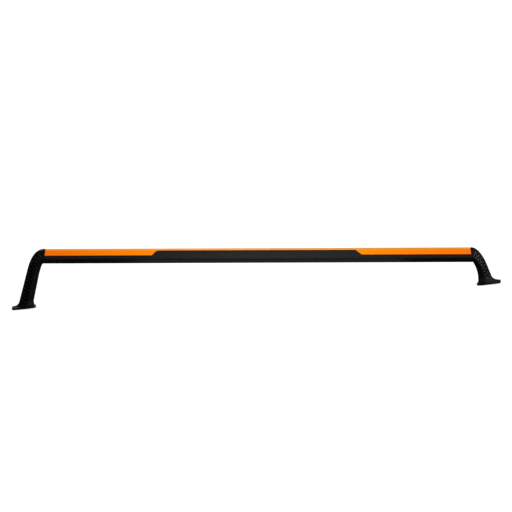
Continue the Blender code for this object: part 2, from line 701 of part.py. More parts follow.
def build_back_cover(leg):
    rings = back_slab(leg, (BACK_COVER_TOP, leg.value_at_height(BACK_COVER_BOTTOM_Z)), BACK_COVER_SIDES,
                      (BACK_Y - BACK_COVER_THICKNESS, BACK_Y))
    cover = add_piece(f"{leg.name}_back_cover", mesh_from(f"{leg.name}_back_cover", loft, rings),
                      "cover_plastic")
    profile = button_head(COVER_SCREW_R) + [(COVER_SCREW_R, -COVER_SCREW_LENGTH), (0.0, -COVER_SCREW_LENGTH)]
    for i, s in enumerate(leg.cover_screw_values(), 1):
        cut_upright(cover, f"{leg.name}_back_cover_hole_{i}", COVER_SCREW_R + GAP, 12 * MM,
                    leg.back_point(s, 0.5, BACK_Y), INTO_BACK)
        screw = turned_piece(f"{leg.name}_cover_screw_{i}", profile, "screw_steel", segments=16)
        screw.location = leg.back_point(s, 0.5, BACK_Y + GAP / 2)
        screw.rotation_euler = INTO_BACK


def build_foot(leg):
    """The rubber gasket under a foot, and the threaded inserts in it."""
    middle_x = leg.side * (TOE_X + HEEL_X) / 2
    outline = [((point.x - middle_x) * GASKET_TRIM, point.y) for point in leg.ring(3)]
    gasket = add_piece(f"{leg.name}_foot_gasket",
                       flat_outline_mesh(f"{leg.name}_foot_gasket", (outline,), GASKET_THICKNESS), "rubber")
    gasket.location = (middle_x, 0.0, leg.ground(middle_x) + GASKET_THICKNESS / 2)
    gasket.rotation_euler = OUT_OF_SOLE
    cut_upright(gasket, f"{leg.name}_gasket_toe_hole", TOE_HOLE_R, 12 * MM, toe_hole_place(leg), OUT_OF_SOLE)
    for label, place in insert_places(leg):
        cut_upright(gasket, f"{leg.name}_gasket_{label}_hole", INSERT_BORE_R + GAP, 12 * MM, place,
                    OUT_OF_SOLE)
        insert = turned_piece(
            f"{leg.name}_insert_{label}",
            [(INSERT_BORE_R, INSERT_HEIGHT), (INSERT_R, INSERT_HEIGHT), (INSERT_R, 0.0),
             (INSERT_BORE_R, 0.0), (INSERT_BORE_R, INSERT_HEIGHT)],
            "brass",
        )
        insert.location = place
        insert.rotation_euler = OUT_OF_SOLE


clear_scene()
PARTS = make_collection("bed_cargo_bar")
CUTTERS = make_collection("cutters")
PAINTS = {name: make_material(name) for name in MATERIALS}
BAR_FRAME = bpy.data.objects.new("bar_frame", None)
PARTS.objects.link(BAR_FRAME)
BAR_FRAME.location = (BEAM_MIDDLE_X, 0.0, BEAM_MIDDLE_Z)
BAR_FRAME.rotation_euler = (0.0, RAKE, 0.0)

build_beam_extrusion()
build_accent_rail()
build_center_cover()
build_cover_clips()
build_joint_screws()
build_joint_seals()

SEAL_STACK = (SEAL_THICKNESS + 2 * GAP) / math.cos(JOINT_TILT)
LEG_HALF_HEIGHT = (HALF_HEIGHT + LEG_PROUD) / MM
LEAN = LEG_HALF_HEIGHT * math.tan(JOINT_TILT)
JOINT_TOP = (-LEAN, LEG_HALF_HEIGHT)
JOINT_BOTTOM = (LEAN, -LEG_HALF_HEIGHT)
LEGS = (
    Leg("left", -1, BEAM_LEFT_U - SEAL_STACK,
        outer_bend=(JOINT_TOP, (31.0, 23.0), (45.6, -13.0), (54.6, -50.0)),
        inner_bend=(JOINT_BOTTOM, (6.0, -23.0), (9.5, -33.0), (15.7, -57.0)),
        ridge_w=0.43, ankle_outer_x=755.5 * MM, ankle_inner_x=710.0 * MM,
        toe_thickness=7.0 * MM, heel_thickness=4.4 * MM),
    Leg("right", 1, BEAM_RIGHT_U + SEAL_STACK,
        outer_bend=(JOINT_TOP, (21.0, 22.5), (40.5, -9.5), (55.0, -50.0)),
        inner_bend=(JOINT_BOTTOM, (6.0, -25.5), (12.5, -36.0), (18.0, -57.0)),
        ridge_w=0.5, ankle_outer_x=752.0 * MM, ankle_inner_x=709.2 * MM,
        toe_thickness=5.8 * MM, heel_thickness=4.4 * MM),
)
for one_leg in LEGS:
    build_leg(one_leg)
    build_lattice_panel(one_leg)
    build_back_cover(one_leg)
    build_foot(one_leg)
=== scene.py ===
"""Visual model of a raked cargo bar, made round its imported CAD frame.

Metres, +X along the bar from the tall leg to the short one, -Y the front, +Z up.
Beam pieces are drawn in the beam's own frame (u along it, v up across it) and then set in place.
"""

import math

import bmesh
import bpy
from mathutils import Matrix, Vector


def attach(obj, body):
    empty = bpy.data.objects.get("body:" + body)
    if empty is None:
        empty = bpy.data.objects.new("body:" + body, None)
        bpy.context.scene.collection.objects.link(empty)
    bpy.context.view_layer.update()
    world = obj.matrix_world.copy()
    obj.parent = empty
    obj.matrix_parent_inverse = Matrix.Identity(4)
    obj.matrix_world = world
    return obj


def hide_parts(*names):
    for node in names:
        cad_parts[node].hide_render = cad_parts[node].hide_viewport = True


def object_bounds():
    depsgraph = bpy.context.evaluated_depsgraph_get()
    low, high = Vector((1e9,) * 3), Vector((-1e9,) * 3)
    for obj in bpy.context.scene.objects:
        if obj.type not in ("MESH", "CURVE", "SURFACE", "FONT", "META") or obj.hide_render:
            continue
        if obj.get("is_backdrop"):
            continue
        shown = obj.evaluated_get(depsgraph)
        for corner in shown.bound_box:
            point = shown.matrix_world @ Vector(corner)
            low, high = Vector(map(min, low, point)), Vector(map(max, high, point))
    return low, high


bl_info = {
    "name": "Bed Cargo Bar",
    "version": (1, 0, 0),
    "blender": (4, 5, 0),
    "location": "View3D > Sidebar > Cargo Bar",
    "description": "Builds the visual pieces of a raked cargo bar",
    "category": "Object",
}

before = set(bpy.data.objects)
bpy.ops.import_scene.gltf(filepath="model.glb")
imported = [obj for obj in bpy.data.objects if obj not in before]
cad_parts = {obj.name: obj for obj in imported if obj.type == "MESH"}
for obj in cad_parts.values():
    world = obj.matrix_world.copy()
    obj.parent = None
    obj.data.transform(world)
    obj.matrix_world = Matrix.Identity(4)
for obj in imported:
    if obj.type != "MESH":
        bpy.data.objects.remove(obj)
CAD_LOW, CAD_HIGH = (Vector(corner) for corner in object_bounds())
BODY = "root"
MM = 0.001

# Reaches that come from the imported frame
TOE_X = CAD_HIGH.x
FOOT_BACK_Y = CAD_HIGH.y

# Beam
RAKE = math.radians(2.85)
BEAM_MIDDLE = Vector((6.5, 0.0, 131.6)) * MM
BEAM_LEFT_U = -676.3 * MM
BEAM_RIGHT_U = 686.0 * MM
HALF_HEIGHT = 22.0 * MM
BACK_Y = 20.0 * MM
TOP_FRONT_Y = -12.0 * MM
FOLD_Y = -20.0 * MM
FOLD_V = -6.5 * MM
GROOVE = ((0.13, 0.0), (0.15, 1.0), (0.25, 1.0), (0.27, 0.0))
BOTTOM_FRONT_Y = -9.0 * MM
JOINT_TILT = math.radians(9.0)
GAP = 0.3 * MM
ENVELOPE = ((BACK_Y, HALF_HEIGHT), (TOP_FRONT_Y, HALF_HEIGHT), (FOLD_Y, FOLD_V),
            (BOTTOM_FRONT_Y, -HALF_HEIGHT), (BACK_Y, -HALF_HEIGHT))
ENVELOPE_RADII = (4.0 * MM, 2.0 * MM, 1.5 * MM, 2.5 * MM, 4.0 * MM)
HOLLOW = ((14.7 * MM, 16.2 * MM), (-9.0 * MM, 16.2 * MM), (-15.8 * MM, -6.8 * MM),
          (-7.3 * MM, -18.3 * MM), (14.7 * MM, -18.3 * MM))
HOLLOW_RADIUS = 2.0 * MM
FACET_ANGLE = math.atan2(HALF_HEIGHT - FOLD_V, TOP_FRONT_Y - FOLD_Y)

# Rail, cover and clips
RAIL_THICKNESS = 2.0 * MM
RAIL_FRONT_V = 4.8 * MM
RAIL_BACK_V = 15.5 * MM
COVER_LEFT_U = (-345.0 * MM, -317.0 * MM)
COVER_RIGHT_U = (350.0 * MM, 316.0 * MM)
COVER_V = (-5.6 * MM, 19.5 * MM)
COVER_THICKNESS = 2.4 * MM
CLIP_U = (-270.0 * MM, -90.0 * MM, 90.0 * MM, 270.0 * MM)
CLIP_V = 9.0 * MM
CLIP_HOLE_R = 3.3 * MM
CLIP_HOLE_DEPTH = 9 * MM

# Joints and screws
SEAL_THICKNESS = 0.7 * MM
TONGUE_LENGTH = 60.0 * MM
TONGUE_ROOT = 6 * MM
TONGUE_CLEARANCE = 0.4 * MM
JOINT_SCREW_OFFSETS = (18.0 * MM, 42.0 * MM)
JOINT_SCREW_V = -2.0 * MM
JOINT_SCREW_R = 3.0 * MM
JOINT_SCREW_LENGTH = 16.0 * MM
BEAM_SCREW_HOLE = 14 * MM
LEG_SCREW_HOLE = 32 * MM
COVER_SCREW_R = 2.0 * MM
COVER_SCREW_LENGTH = 9.0 * MM

# Legs and feet
SOLE_TILT = math.radians(3.6)
GASKET_THICKNESS = 2.5 * MM
GASKET_TRIM = 0.994
GASKET_EDGE = 0.346 * MM
SOLE_Z = GASKET_THICKNESS + GAP
OUTER_DROP = 0.63
INNER_DROP = 0.93
ANKLE_Z = 26.0 * MM
LEG_EDGE_Y = -8.0 * MM
HEEL_X = 704.0 * MM
FOOT_FRONT_Y = -23.0 * MM
FOOT_RIDGE_Y = -28.75 * MM
FOOT_CORNER = 13.0 * MM
FOOT_RIDGE_W = 0.36
LEG_PROUD = 0.93 * MM
LATTICE_SPAN = (0.16, 2.05)
LATTICE_MARGINS = (0.13, 0.87)
PANEL_INSET = 0.02
# Rows of the ribs' strip, clear of every place a rib crosses, so that no lookup lands on a shared edge
STRIP_ROWS = (-0.1, 0.037, 0.463, 0.963, 1.1)
RECESS_SPAN = (LATTICE_SPAN[0] - 0.02, LATTICE_SPAN[1] + 0.02)
RECESS_RAMP = 0.03
RECESS_DEPTH = 2.6 * MM
RECESS_CLEARANCE = 0.03
SEAT_TOP = 0.49
SEAT_START = SEAT_TOP - 0.015
SEAT_REACH = 0.02
SEAT_RAMP = 0.02
SEAT_BOTTOM_Z = 23.7 * MM
SEAT_Y = 17.7 * MM
BACK_COVER_TOP = 0.5
BACK_COVER_BOTTOM_Z = 24.0 * MM
BACK_COVER_SIDES = (0.12, 0.88)
BACK_COVER_THICKNESS = 2.0 * MM
COVER_SCREW_TOP = 0.62
COVER_SCREW_BOTTOM_Z = 31.0 * MM
INSERT_R = 6.0 * MM
INSERT_BORE_R = 3.4 * MM
INSERT_HEIGHT = 12.0 * MM
INSERT_GROOVES = ((9.2 * MM, 0.0), (8.6 * MM, 0.45 * MM), (7.0 * MM, 0.45 * MM),
                  (6.4 * MM, 0.0), (4.8 * MM, 0.45 * MM), (4.2 * MM, 0.0))
INSERT_X = 733.0 * MM
INSERT_Y = (-9.0 * MM, 11.0 * MM)
TOE_HOLE_R = 4.25 * MM
TOE_HOLE_LENGTH = 40 * MM
TOE_HOLE = (768.0 * MM, 3.0 * MM)


# ---------------------------------------------------------------- node graphs

class Link:
    """An output socket that takes part in sums, in a shader or a geometry tree."""

    def __init__(self, graph, socket):
        self.graph = graph
        self.socket = socket

    def math(self, operation, first, second):
        return self.graph.node("ShaderNodeMath", {"operation": operation}, {0: first, 1: second})

    def __add__(self, other):
        return self.math("ADD", self, other)

    __radd__ = __add__

    def __sub__(self, other):
        return self.math("SUBTRACT", self, other)

    def __rsub__(self, other):
        return self.math("SUBTRACT", other, self)

    def __mul__(self, other):
        return self.math("MULTIPLY", self, other)

    __rmul__ = __mul__

    def __truediv__(self, other):
        return self.math("DIVIDE", self, other)

    def __mod__(self, other):
        return self.math("MODULO", self, other)

    def __pow__(self, other):
        return self.math("POWER", self, other)

    def above(self, edge):
        return self.math("GREATER_THAN", self, edge)


class Graph:
    """Adds nodes to a shader, world or geometry tree."""

    def __init__(self, tree):
        self.tree = tree

    def node(self, kind, settings=None, values=None, output=0):
        made = self.tree.nodes.new(kind)
        for name, value in (settings or {}).items():
            if name == "stops":
                ramp = made.color_ramp
                while len(ramp.elements) < len(value):
                    ramp.elements.new(1.0)
                for element, (position, shade) in zip(ramp.elements, value):
                    element.position = position
                    element.color = (shade, shade, shade, 1.0)
            else:
                setattr(made, name, value)
        for key, value in (values or {}).items():
            self.feed(made.inputs[key], value)
        return Link(self, made.outputs[output])

    def feed(self, socket, value):
        if isinstance(value, Link):
            self.tree.links.new(value.socket, socket)
        elif isinstance(value, list):
            for one in value:
                self.tree.links.new(one.socket, socket)
        else:
            socket.default_value = value

    def blend_color(self, factor, first, second):
        """A colour between two, through a Mix node."""
        return self.node("ShaderNodeMix", {"data_type": "RGBA"}, {0: factor, 6: first, 7: second}, output=2)


class Finish(Graph):
    """One material and the patterns that its surface is made from."""

    def __init__(self, name, **values):
        self.material = bpy.data.materials.new(name)
        self.material.use_nodes = True
        super().__init__(self.material.node_tree)
        self.shader = self.tree.nodes["Principled BSDF"]
        for key, value in values.items():
            self.shader.inputs[key.replace("_", " ")].default_value = value
        self.spot = self.node("ShaderNodeTexCoord", output=3)

    def set(self, socket, value):
        self.feed(self.shader.inputs[socket], value)

    def mixed_with(self, name, share, color, roughness):
        """A plain dull surface shows through by the given share; the leg coat uses it for painted shade in
        its pockets.
        """
        dull = self.tree.nodes.new("ShaderNodeBsdfPrincipled")
        dull.name = name
        dull.inputs["Base Color"].default_value = color
        dull.inputs["Roughness"].default_value = roughness
        dull.inputs["Specular IOR Level"].default_value = 0.02
        mixer = self.tree.nodes.new("ShaderNodeMixShader")
        self.feed(mixer.inputs[0], share)
        self.tree.links.new(self.shader.outputs[0], mixer.inputs[1])
        self.tree.links.new(dull.outputs[0], mixer.inputs[2])
        output = next(node for node in self.tree.nodes if node.type == "OUTPUT_MATERIAL")
        self.tree.links.new(mixer.outputs[0], output.inputs["Surface"])

    def place(self, stretch):
        """Object coordinates turned to lie along the beam, then scaled."""
        turn = self.node("ShaderNodeMapping", {"vector_type": "POINT"},
                         {0: self.spot, 2: (0.0, -RAKE, 0.0)})
        return self.node("ShaderNodeMapping", {"vector_type": "POINT"}, {0: turn, 3: stretch})

    def noise(self, scale, detail=3.0, roughness=0.5, stretch=(1.0, 1.0, 1.0), distortion=0.0):
        return self.node("ShaderNodeTexNoise", {"noise_dimensions": "3D"},
                         {"Vector": self.place(stretch), "Scale": scale, "Detail": detail,
                          "Roughness": roughness, "Distortion": distortion})

    def cells(self, scale, feature):
        return self.node("ShaderNodeTexVoronoi", {"feature": feature},
                         {"Vector": self.place((1.0, 1.0, 1.0)), "Scale": scale})

    def ramp(self, value, *stops):
        return self.node("ShaderNodeValToRGB", {"stops": stops}, {0: value})

    def bump(self, *layers):
        """Bumps on each other, each (height, strength, distance)."""
        normal = None
        for height, strength, distance in layers:
            values = {"Height": height, "Strength": strength, "Distance": distance}
            if normal is not None:
                values["Normal"] = normal
            normal = self.node("ShaderNodeBump", None, values)
        self.set("Normal", normal)


def rgba(color):
    return (color[0], color[1], color[2], 1.0)


def scaled(color, factor):
    return (color[0] * factor, color[1] * factor, color[2] * factor, 1.0)


# ---------------------------------------------------------------- finishes

def orange_coat(colors):
    """Satin orange coat on an extrusion, with a painted pool of light that warms the middle and a painted
    highlight that turns the flat top golden, with faint draw lines, soft mottling and fine orange peel."""
    paint = Finish("orange_coat")
    paint.shader.inputs["Specular IOR Level"].default_value = 0.03
    along = paint.node("ShaderNodeSeparateXYZ", None, {0: paint.spot}, output=0)
    # Painted light: the rail's colour is raised towards its middle, a pool of light painted on the coat
    middle = paint.ramp(along.math("ABSOLUTE", along, 0.0), (0.22, 1.0), (0.70, 0.0))
    # Painted highlight: faces that point up are painted lighter and golden, as light falls on the flat top
    facing = paint.node("ShaderNodeNewGeometry", output=1)
    painted_top_highlight = paint.node("ShaderNodeSeparateXYZ", None, {0: facing}, output=2)
    painted_top_highlight = paint.ramp(painted_top_highlight, (0.55, 0.0), (0.92, 1.0))
    cloud = paint.noise(9.0, 3.0, 0.5)
    lines = paint.noise(1.0, 4.0, 0.6, stretch=(5.0, 900.0, 900.0))
    rubbed = paint.ramp(paint.noise(60.0, 6.0, 0.65, stretch=(0.35, 1.0, 1.0)), (0.56, 0.0), (0.72, 1.0))
    # Painted light: the colour of the ends is blended into the lit colour of the middle
    base = paint.blend_color(middle, rgba(colors.orange), rgba(colors.orange_painted_middle_light))
    # Painted highlight colour of the flat top, itself warmer in the painted light of the middle
    top = paint.blend_color(middle, rgba(colors.orange_painted_top_highlight), scaled(colors.orange_painted_top_highlight, 1.1))
    base = paint.blend_color(painted_top_highlight, base, top)
    base = paint.blend_color(cloud * 0.10, base, scaled(colors.orange, 0.72))
    base = paint.blend_color(rubbed * 0.06, base, (1.0, 0.36, 0.03, 1.0))
    paint.set("Base Color", base)
    paint.set("Roughness", 0.30 + lines * 0.06 + rubbed * 0.08)
    paint.bump((lines, 0.12, 0.00003), (paint.noise(1100.0, 2.0), 0.18, 0.00006))
    return paint.material


def black_anodised(colors):
    """Black anodised extrusion with lengthwise draw lines and a few fine rub marks."""
    metal = Finish("black_anodised", Metallic=0.0)
    metal.shader.inputs["Specular IOR Level"].default_value = 0.24
    lines = metal.noise(1.0, 5.0, 0.62, stretch=(4.0, 1100.0, 1100.0))
    cloud = metal.noise(14.0, 4.0, 0.55)
    rubbed = metal.ramp(metal.noise(45.0, 8.0, 0.7, stretch=(0.25, 1.0, 1.0)), (0.60, 0.0), (0.76, 1.0))
    tone = metal.blend_color(lines, scaled(colors.beam, 0.85), scaled(colors.beam, 1.15))
    tone = metal.blend_color(rubbed * 0.35, tone, scaled(colors.beam, 2.4))
    metal.set("Base Color", tone)
    metal.set("Roughness", 0.36 + lines * 0.10 + cloud * 0.06)
    metal.bump((lines, 0.25, 0.00004), (metal.noise(2600.0, 2.0), 0.12, 0.00004))
    return metal.material


def cover_plastic(colors):
    """Moulded black plastic with a fine leather-like grain."""
    plastic = Finish("cover_plastic", Metallic=0.0)
    plastic.shader.inputs["Specular IOR Level"].default_value = 0.18
    grain = plastic.cells(900.0, "SMOOTH_F1")
    fine = plastic.noise(2400.0, 3.0, 0.6)
    cloud = plastic.noise(11.0, 4.0, 0.55)
    tone = plastic.blend_color(cloud, scaled(colors.cover, 0.9), scaled(colors.cover, 1.1))
    tone = plastic.blend_color(plastic.ramp(grain, (0.25, 0.0), (0.75, 1.0)) * 0.4, tone,
                               scaled(colors.cover, 1.35))
    plastic.set("Base Color", tone)
    plastic.set("Roughness", 0.46 + grain * 0.12 + cloud * 0.05)
    plastic.bump((grain, 0.30, 0.00012), (fine, 0.15, 0.00004))
    return plastic.material


# Painted highlight: reach in x and height of the lighter, slightly green patch painted on the short leg's
# outer toe where light falls on it
PAINTED_TOE_LIGHT_X = (722 * MM, 752 * MM)
PAINTED_TOE_LIGHT_Z = (10 * MM, 42 * MM)


def leg_coat(colors):
    """Textured black powder coat on a casting, with painted shade that darkens and dulls the lattice pockets
    and a painted highlight, slightly green, that lightens the short leg's outer toe.
    """
    coat = Finish("leg_coat", Metallic=0.0)
    coat.shader.inputs["Specular IOR Level"].default_value = 0.14
    # Painted shade: the pocket attribute marks the recess, which is painted darker and duller as if in shade
    pocket = coat.node("ShaderNodeAttribute", {"attribute_name": "pocket"}, output=2)
    peel = coat.noise(1500.0, 3.0, 0.55)
    skin = coat.noise(120.0, 4.0, 0.5)
    cloud = coat.noise(18.0, 4.0, 0.55)
    chips = coat.ramp(coat.noise(420.0, 6.0, 0.72), (0.68, 0.0), (0.80, 1.0))
    tone = coat.blend_color(cloud, scaled(colors.leg, 0.85), scaled(colors.leg, 1.2))
    tone = coat.blend_color(chips * 0.25, tone, scaled(colors.leg, 3.0))
    height = coat.node("ShaderNodeSeparateXYZ", None, {0: coat.spot}, output=2)
    out = coat.node("ShaderNodeSeparateXYZ", None, {0: coat.spot}, output=0)
    # Painted highlight: lighter towards the short leg's outer toe and lower down
    outer = coat.ramp(out, (PAINTED_TOE_LIGHT_X[0], 0.0), (PAINTED_TOE_LIGHT_X[1], 1.0))
    painted_toe_light = coat.ramp(height, (PAINTED_TOE_LIGHT_Z[0], 1.0), (PAINTED_TOE_LIGHT_Z[1], 0.0)) * outer * (0.6 + skin * 0.8)
    # Painted highlight: the lit toe's colour blended into the coat
    tone = coat.blend_color(painted_toe_light * 0.8, tone, rgba(colors.painted_toe_light_color))
    # Painted shade: the recess darkened
    tone = coat.blend_color(pocket * 0.85, tone, scaled(colors.leg, 0.25))
    coat.set("Base Color", tone)
    coat.set("Roughness", 0.44 + peel * 0.10 + cloud * 0.05 + pocket * 0.35)
    coat.bump((skin, 0.10, 0.0004), (peel, 0.35, 0.00010))
    # Painted shade: a dark, dull surface mixed in over the recess
    coat.mixed_with("dull", pocket, scaled(colors.leg, 0.15), 0.95)
    return coat.material


def lattice_plastic(colors):
    """Satin black moulded ribs with faint flow marks."""
    plastic = Finish("lattice_plastic", Metallic=0.0)
    plastic.shader.inputs["Specular IOR Level"].default_value = 1.0
    flow = plastic.noise(70.0, 4.0, 0.6, distortion=0.6)
    grain = plastic.noise(1900.0, 2.0, 0.55)
    tone = plastic.blend_color(flow, scaled(colors.lattice, 0.85), scaled(colors.lattice, 1.2))
    plastic.set("Base Color", tone)
    plastic.set("Roughness", 0.25 + flow * 0.10 + grain * 0.05)
    plastic.bump((grain, 0.22, 0.00006),)
    return plastic.material


def black_rubber(colors):
    """Matt rubber with a fine chalky bloom."""
    rubber = Finish("rubber", Metallic=0.0)
    rubber.shader.inputs["Specular IOR Level"].default_value = 0.25
    bloom = rubber.noise(160.0, 6.0, 0.65)
    grain = rubber.noise(1300.0, 3.0, 0.6)
    tone = rubber.blend_color(rubber.ramp(bloom, (0.45, 0.0), (0.8, 1.0)) * 0.5, rgba(colors.rubber),
                              scaled(colors.rubber, 2.2))
    rubber.set("Base Color", tone)
    rubber.set("Roughness", 0.74 + bloom * 0.14)
    rubber.bump((grain, 0.35, 0.00012),)
    return rubber.material


def screw_steel(colors):
    """Black zinc plate, worn a little brighter in patches."""
    steel = Finish("screw_steel", Metallic=0.85)
    patches = steel.noise(420.0, 6.0, 0.65)
    lines = steel.noise(2600.0, 3.0, 0.6)
    tone = steel.blend_color(steel.ramp(patches, (0.55, 0.0), (0.8, 1.0)) * 0.5, rgba(colors.steel),
                             scaled(colors.steel, 3.0))
    steel.set("Base Color", tone)
    steel.set("Roughness", 0.30 + patches * 0.16)
    steel.bump((lines, 0.15, 0.00003),)
    return steel.material


def turned_brass(colors):
    """Turned brass with tool rings and dull patches."""
    brass = Finish("brass", Metallic=1.0)
    rings = brass.noise(1.0, 3.0, 0.5, stretch=(60.0, 60.0, 4200.0))
    dull = brass.noise(260.0, 5.0, 0.6)
    tone = brass.blend_color(brass.ramp(dull, (0.4, 0.0), (0.75, 1.0)) * 0.6, rgba(colors.brass),
                             scaled(colors.brass, 0.55))
    brass.set("Base Color", tone)
    brass.set("Roughness", 0.26 + dull * 0.18)
    brass.bump((rings, 0.25, 0.00003),)
    return brass.material


FINISHES = {
    "orange_coat": orange_coat,
    "black_anodised": black_anodised,
    "cover_plastic": cover_plastic,
    "leg_coat": leg_coat,
    "lattice_plastic": lattice_plastic,
    "rubber": black_rubber,
    "screw_steel": screw_steel,
    "brass": turned_brass,
}


def finish_named(name):
    """The material of a finish, made the first time it is asked for."""
    found = bpy.data.materials.get(name)
    if found is None or found.get("made_here") is None:
        found = FINISHES[name](bpy.context.scene.bar_colors)
        found["made_here"] = True
    return found


# ---------------------------------------------------------------- mesh helpers

def on_beam():
    """Matrix that takes beam coordinates (u, y, v) to the frame."""
    return Matrix.Translation(BEAM_MIDDLE) @ Matrix.Rotation(RAKE, 4, "Y")


def new_piece(name, mesh, slot, replaced=(), sharp=32.0):
    """A finished piece at the origin that rides on the body and stands for its CAD nodes."""
    mesh.name = name
    mesh.materials.clear()
    mesh.materials.append(finish_named(slot))
    mesh.shade_smooth()
    mesh.set_sharp_from_angle(angle=math.radians(sharp))
    piece = bpy.data.objects.new(name, mesh)
    bpy.context.scene.collection.objects.link(piece)
    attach(piece, BODY)
    if replaced:
        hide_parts(*replaced)
    return piece


def from_bmesh(shape, name, recalculate=True):
    bmesh.ops.remove_doubles(shape, verts=shape.verts, dist=1e-7)
    if recalculate:
        bmesh.ops.recalc_face_normals(shape, faces=shape.faces)
    mesh = bpy.data.meshes.new(name)
    shape.to_mesh(mesh)
    shape.free()
    return mesh


def plain_mesh(holder):
    """The evaluated mesh of an object, which is then removed."""
    bpy.context.view_layer.update()
    graph = bpy.context.evaluated_depsgraph_get()
    mesh = bpy.data.meshes.new_from_object(holder.evaluated_get(graph))
    bpy.data.objects.remove(holder, do_unlink=True)
    return mesh


def holder_of(data, name="holder"):
    holder = bpy.data.objects.new(name, data)
    bpy.context.scene.collection.objects.link(holder)
    return holder


def cut(mesh, cutters, operation="DIFFERENCE"):
    """The mesh with other meshes taken out of it or joined to it."""
    holder = holder_of(mesh)
    tools = [holder_of(cutter, "tool") for cutter in cutters]
    for tool in tools:
        modifier = holder.modifiers.new("Cut", "BOOLEAN")
        modifier.operation = operation
        modifier.solver = "EXACT"
        modifier.object = tool
    result = plain_mesh(holder)
    for tool in tools:
        bpy.data.objects.remove(tool, do_unlink=True)
    return result


def bevelled(mesh, width, segments=2, angle=35.0):
    holder = holder_of(mesh)
    bevel = holder.modifiers.new("Edges", "BEVEL")
    bevel.width = width
    bevel.segments = segments
    bevel.limit_method = "ANGLE"
    bevel.angle_limit = math.radians(angle)
    return plain_mesh(holder)


def rounded(corners, radii, steps=7):
    """A closed outline with each corner replaced by a short curve of the given reach."""
    points = []
    count = len(corners)
    for i in range(count):
        points += corner_arc(corners[i - 1], corners[i], corners[(i + 1) % count], radii[i], steps)
    return points


def corner_arc(before, corner, after, reach, steps=7):
    before, corner, after = Vector(before), Vector(corner), Vector(after)
    start = corner + (before - corner).normalized() * reach
    end = corner + (after - corner).normalized() * reach
    arc = []
    for k in range(steps + 1):
        t = k / steps
        arc.append(start * (1 - t) ** 2 + corner * 2 * t * (1 - t) + end * t ** 2)
    return arc


def circle(x, y, radius, count=32):
    return [(x + radius * math.cos(math.tau * i / count), y + radius * math.sin(math.tau * i / count))
            for i in range(count)]


def shrink(corners, distance):
    """The outline of a convex shape moved inwards by a distance."""
    moved = []
    count = len(corners)
    for i, corner in enumerate(corners):
        here = Vector(corner)
        before = (here - Vector(corners[i - 1])).normalized()
        after = (Vector(corners[(i + 1) % count]) - here).normalized()
        normal = (Vector((-before.y, before.x)) + Vector((-after.y, after.x))).normalized()
        moved.append(here + normal * (distance / normal.dot(Vector((-before.y, before.x)))))
    return moved


def filled(outlines, thickness):
    """A mesh of closed outlines, the first its edge and the others holes, as thick as given."""
    curve = bpy.data.curves.new("outline", "CURVE")
    curve.dimensions = "2D"
    curve.fill_mode = "BOTH"
    curve.extrude = thickness / 2
    for outline in outlines:
        spline = curve.splines.new("POLY")
        spline.points.add(len(outline) - 1)
        for point, (x, y) in zip(spline.points, outline):
            point.co = (x, y, 0.0, 1.0)
        spline.use_cyclic_u = True
    mesh = plain_mesh(holder_of(curve))
    bpy.data.curves.remove(curve)
    shape = bmesh.new()
    shape.from_mesh(mesh)
    return from_bmesh(shape, "plate")


def loft(rings, name="loft", values=None):
    """A closed solid through rings of equal point counts, with flat ends.

    values gives a number for each point of each ring, kept as the attribute "pocket", which the leg coat
    turns into painted shade in the recess.
    """
    shape = bmesh.new()
    layer = shape.verts.layers.float.new("pocket") if values else None
    rows = []
    for j, ring in enumerate(rings):
        row = [shape.verts.new(point) for point in ring]
        if layer is not None:
            for vert, value in zip(row, values[j]):
                vert[layer] = value
        rows.append(row)
    count = len(rows[0])
    for row, following in zip(rows, rows[1:]):
        for i in range(count):
            k = (i + 1) % count
            shape.faces.new((row[i], row[k], following[k], following[i]))
    shape.faces.new(list(reversed(rows[0])))
    shape.faces.new(rows[-1])
    return from_bmesh(shape, name)


def rod(radius, length, matrix, segments=32):
    shape = bmesh.new()
    bmesh.ops.create_cone(shape, cap_ends=True, segments=segments, radius1=radius, radius2=radius,
                          depth=length, matrix=matrix)
    return from_bmesh(shape, "rod")


# ---------------------------------------------------------------- geometry trees

def geometry_graph(name, inputs):
    """An empty geometry tree with named inputs: the graph, and its inputs as links."""
    tree = bpy.data.node_groups.new(name, "GeometryNodeTree")
    tree.interface.new_socket("Geometry", in_out="INPUT", socket_type="NodeSocketGeometry")
    for label, kind, default in inputs:
        socket = tree.interface.new_socket(label, in_out="INPUT", socket_type=f"NodeSocket{kind}")
        if default is not None:
            socket.default_value = default
    tree.interface.new_socket("Geometry", in_out="OUTPUT", socket_type="NodeSocketGeometry")
    graph = Graph(tree)
    start = tree.nodes.new("NodeGroupInput")
    return graph, {socket.name: Link(graph, socket) for socket in start.outputs if socket.name}


def end_graph(graph, geometry, finish):
    """Realizes the instances, sets the material and closes the tree."""
    real = graph.node("GeometryNodeRealizeInstances", None, {0: geometry})
    painted = graph.node("GeometryNodeSetMaterial", None, {"Geometry": real, "Material": finish})
    ending = graph.tree.nodes.new("NodeGroupOutput")
    graph.tree.links.new(painted.socket, ending.inputs[0])
    return graph.tree


def grown(tree, mesh, values):
    """The plain mesh that a geometry tree makes from a mesh and its named inputs."""
    holder = holder_of(mesh)
    modifier = holder.modifiers.new(tree.name, "NODES")
    modifier.node_group = tree
    for item in tree.interface.items_tree:
        if item.item_type == "SOCKET" and item.in_out == "INPUT" and item.name in values:
            modifier[item.identifier] = values[item.name]
    return plain_mesh(holder)


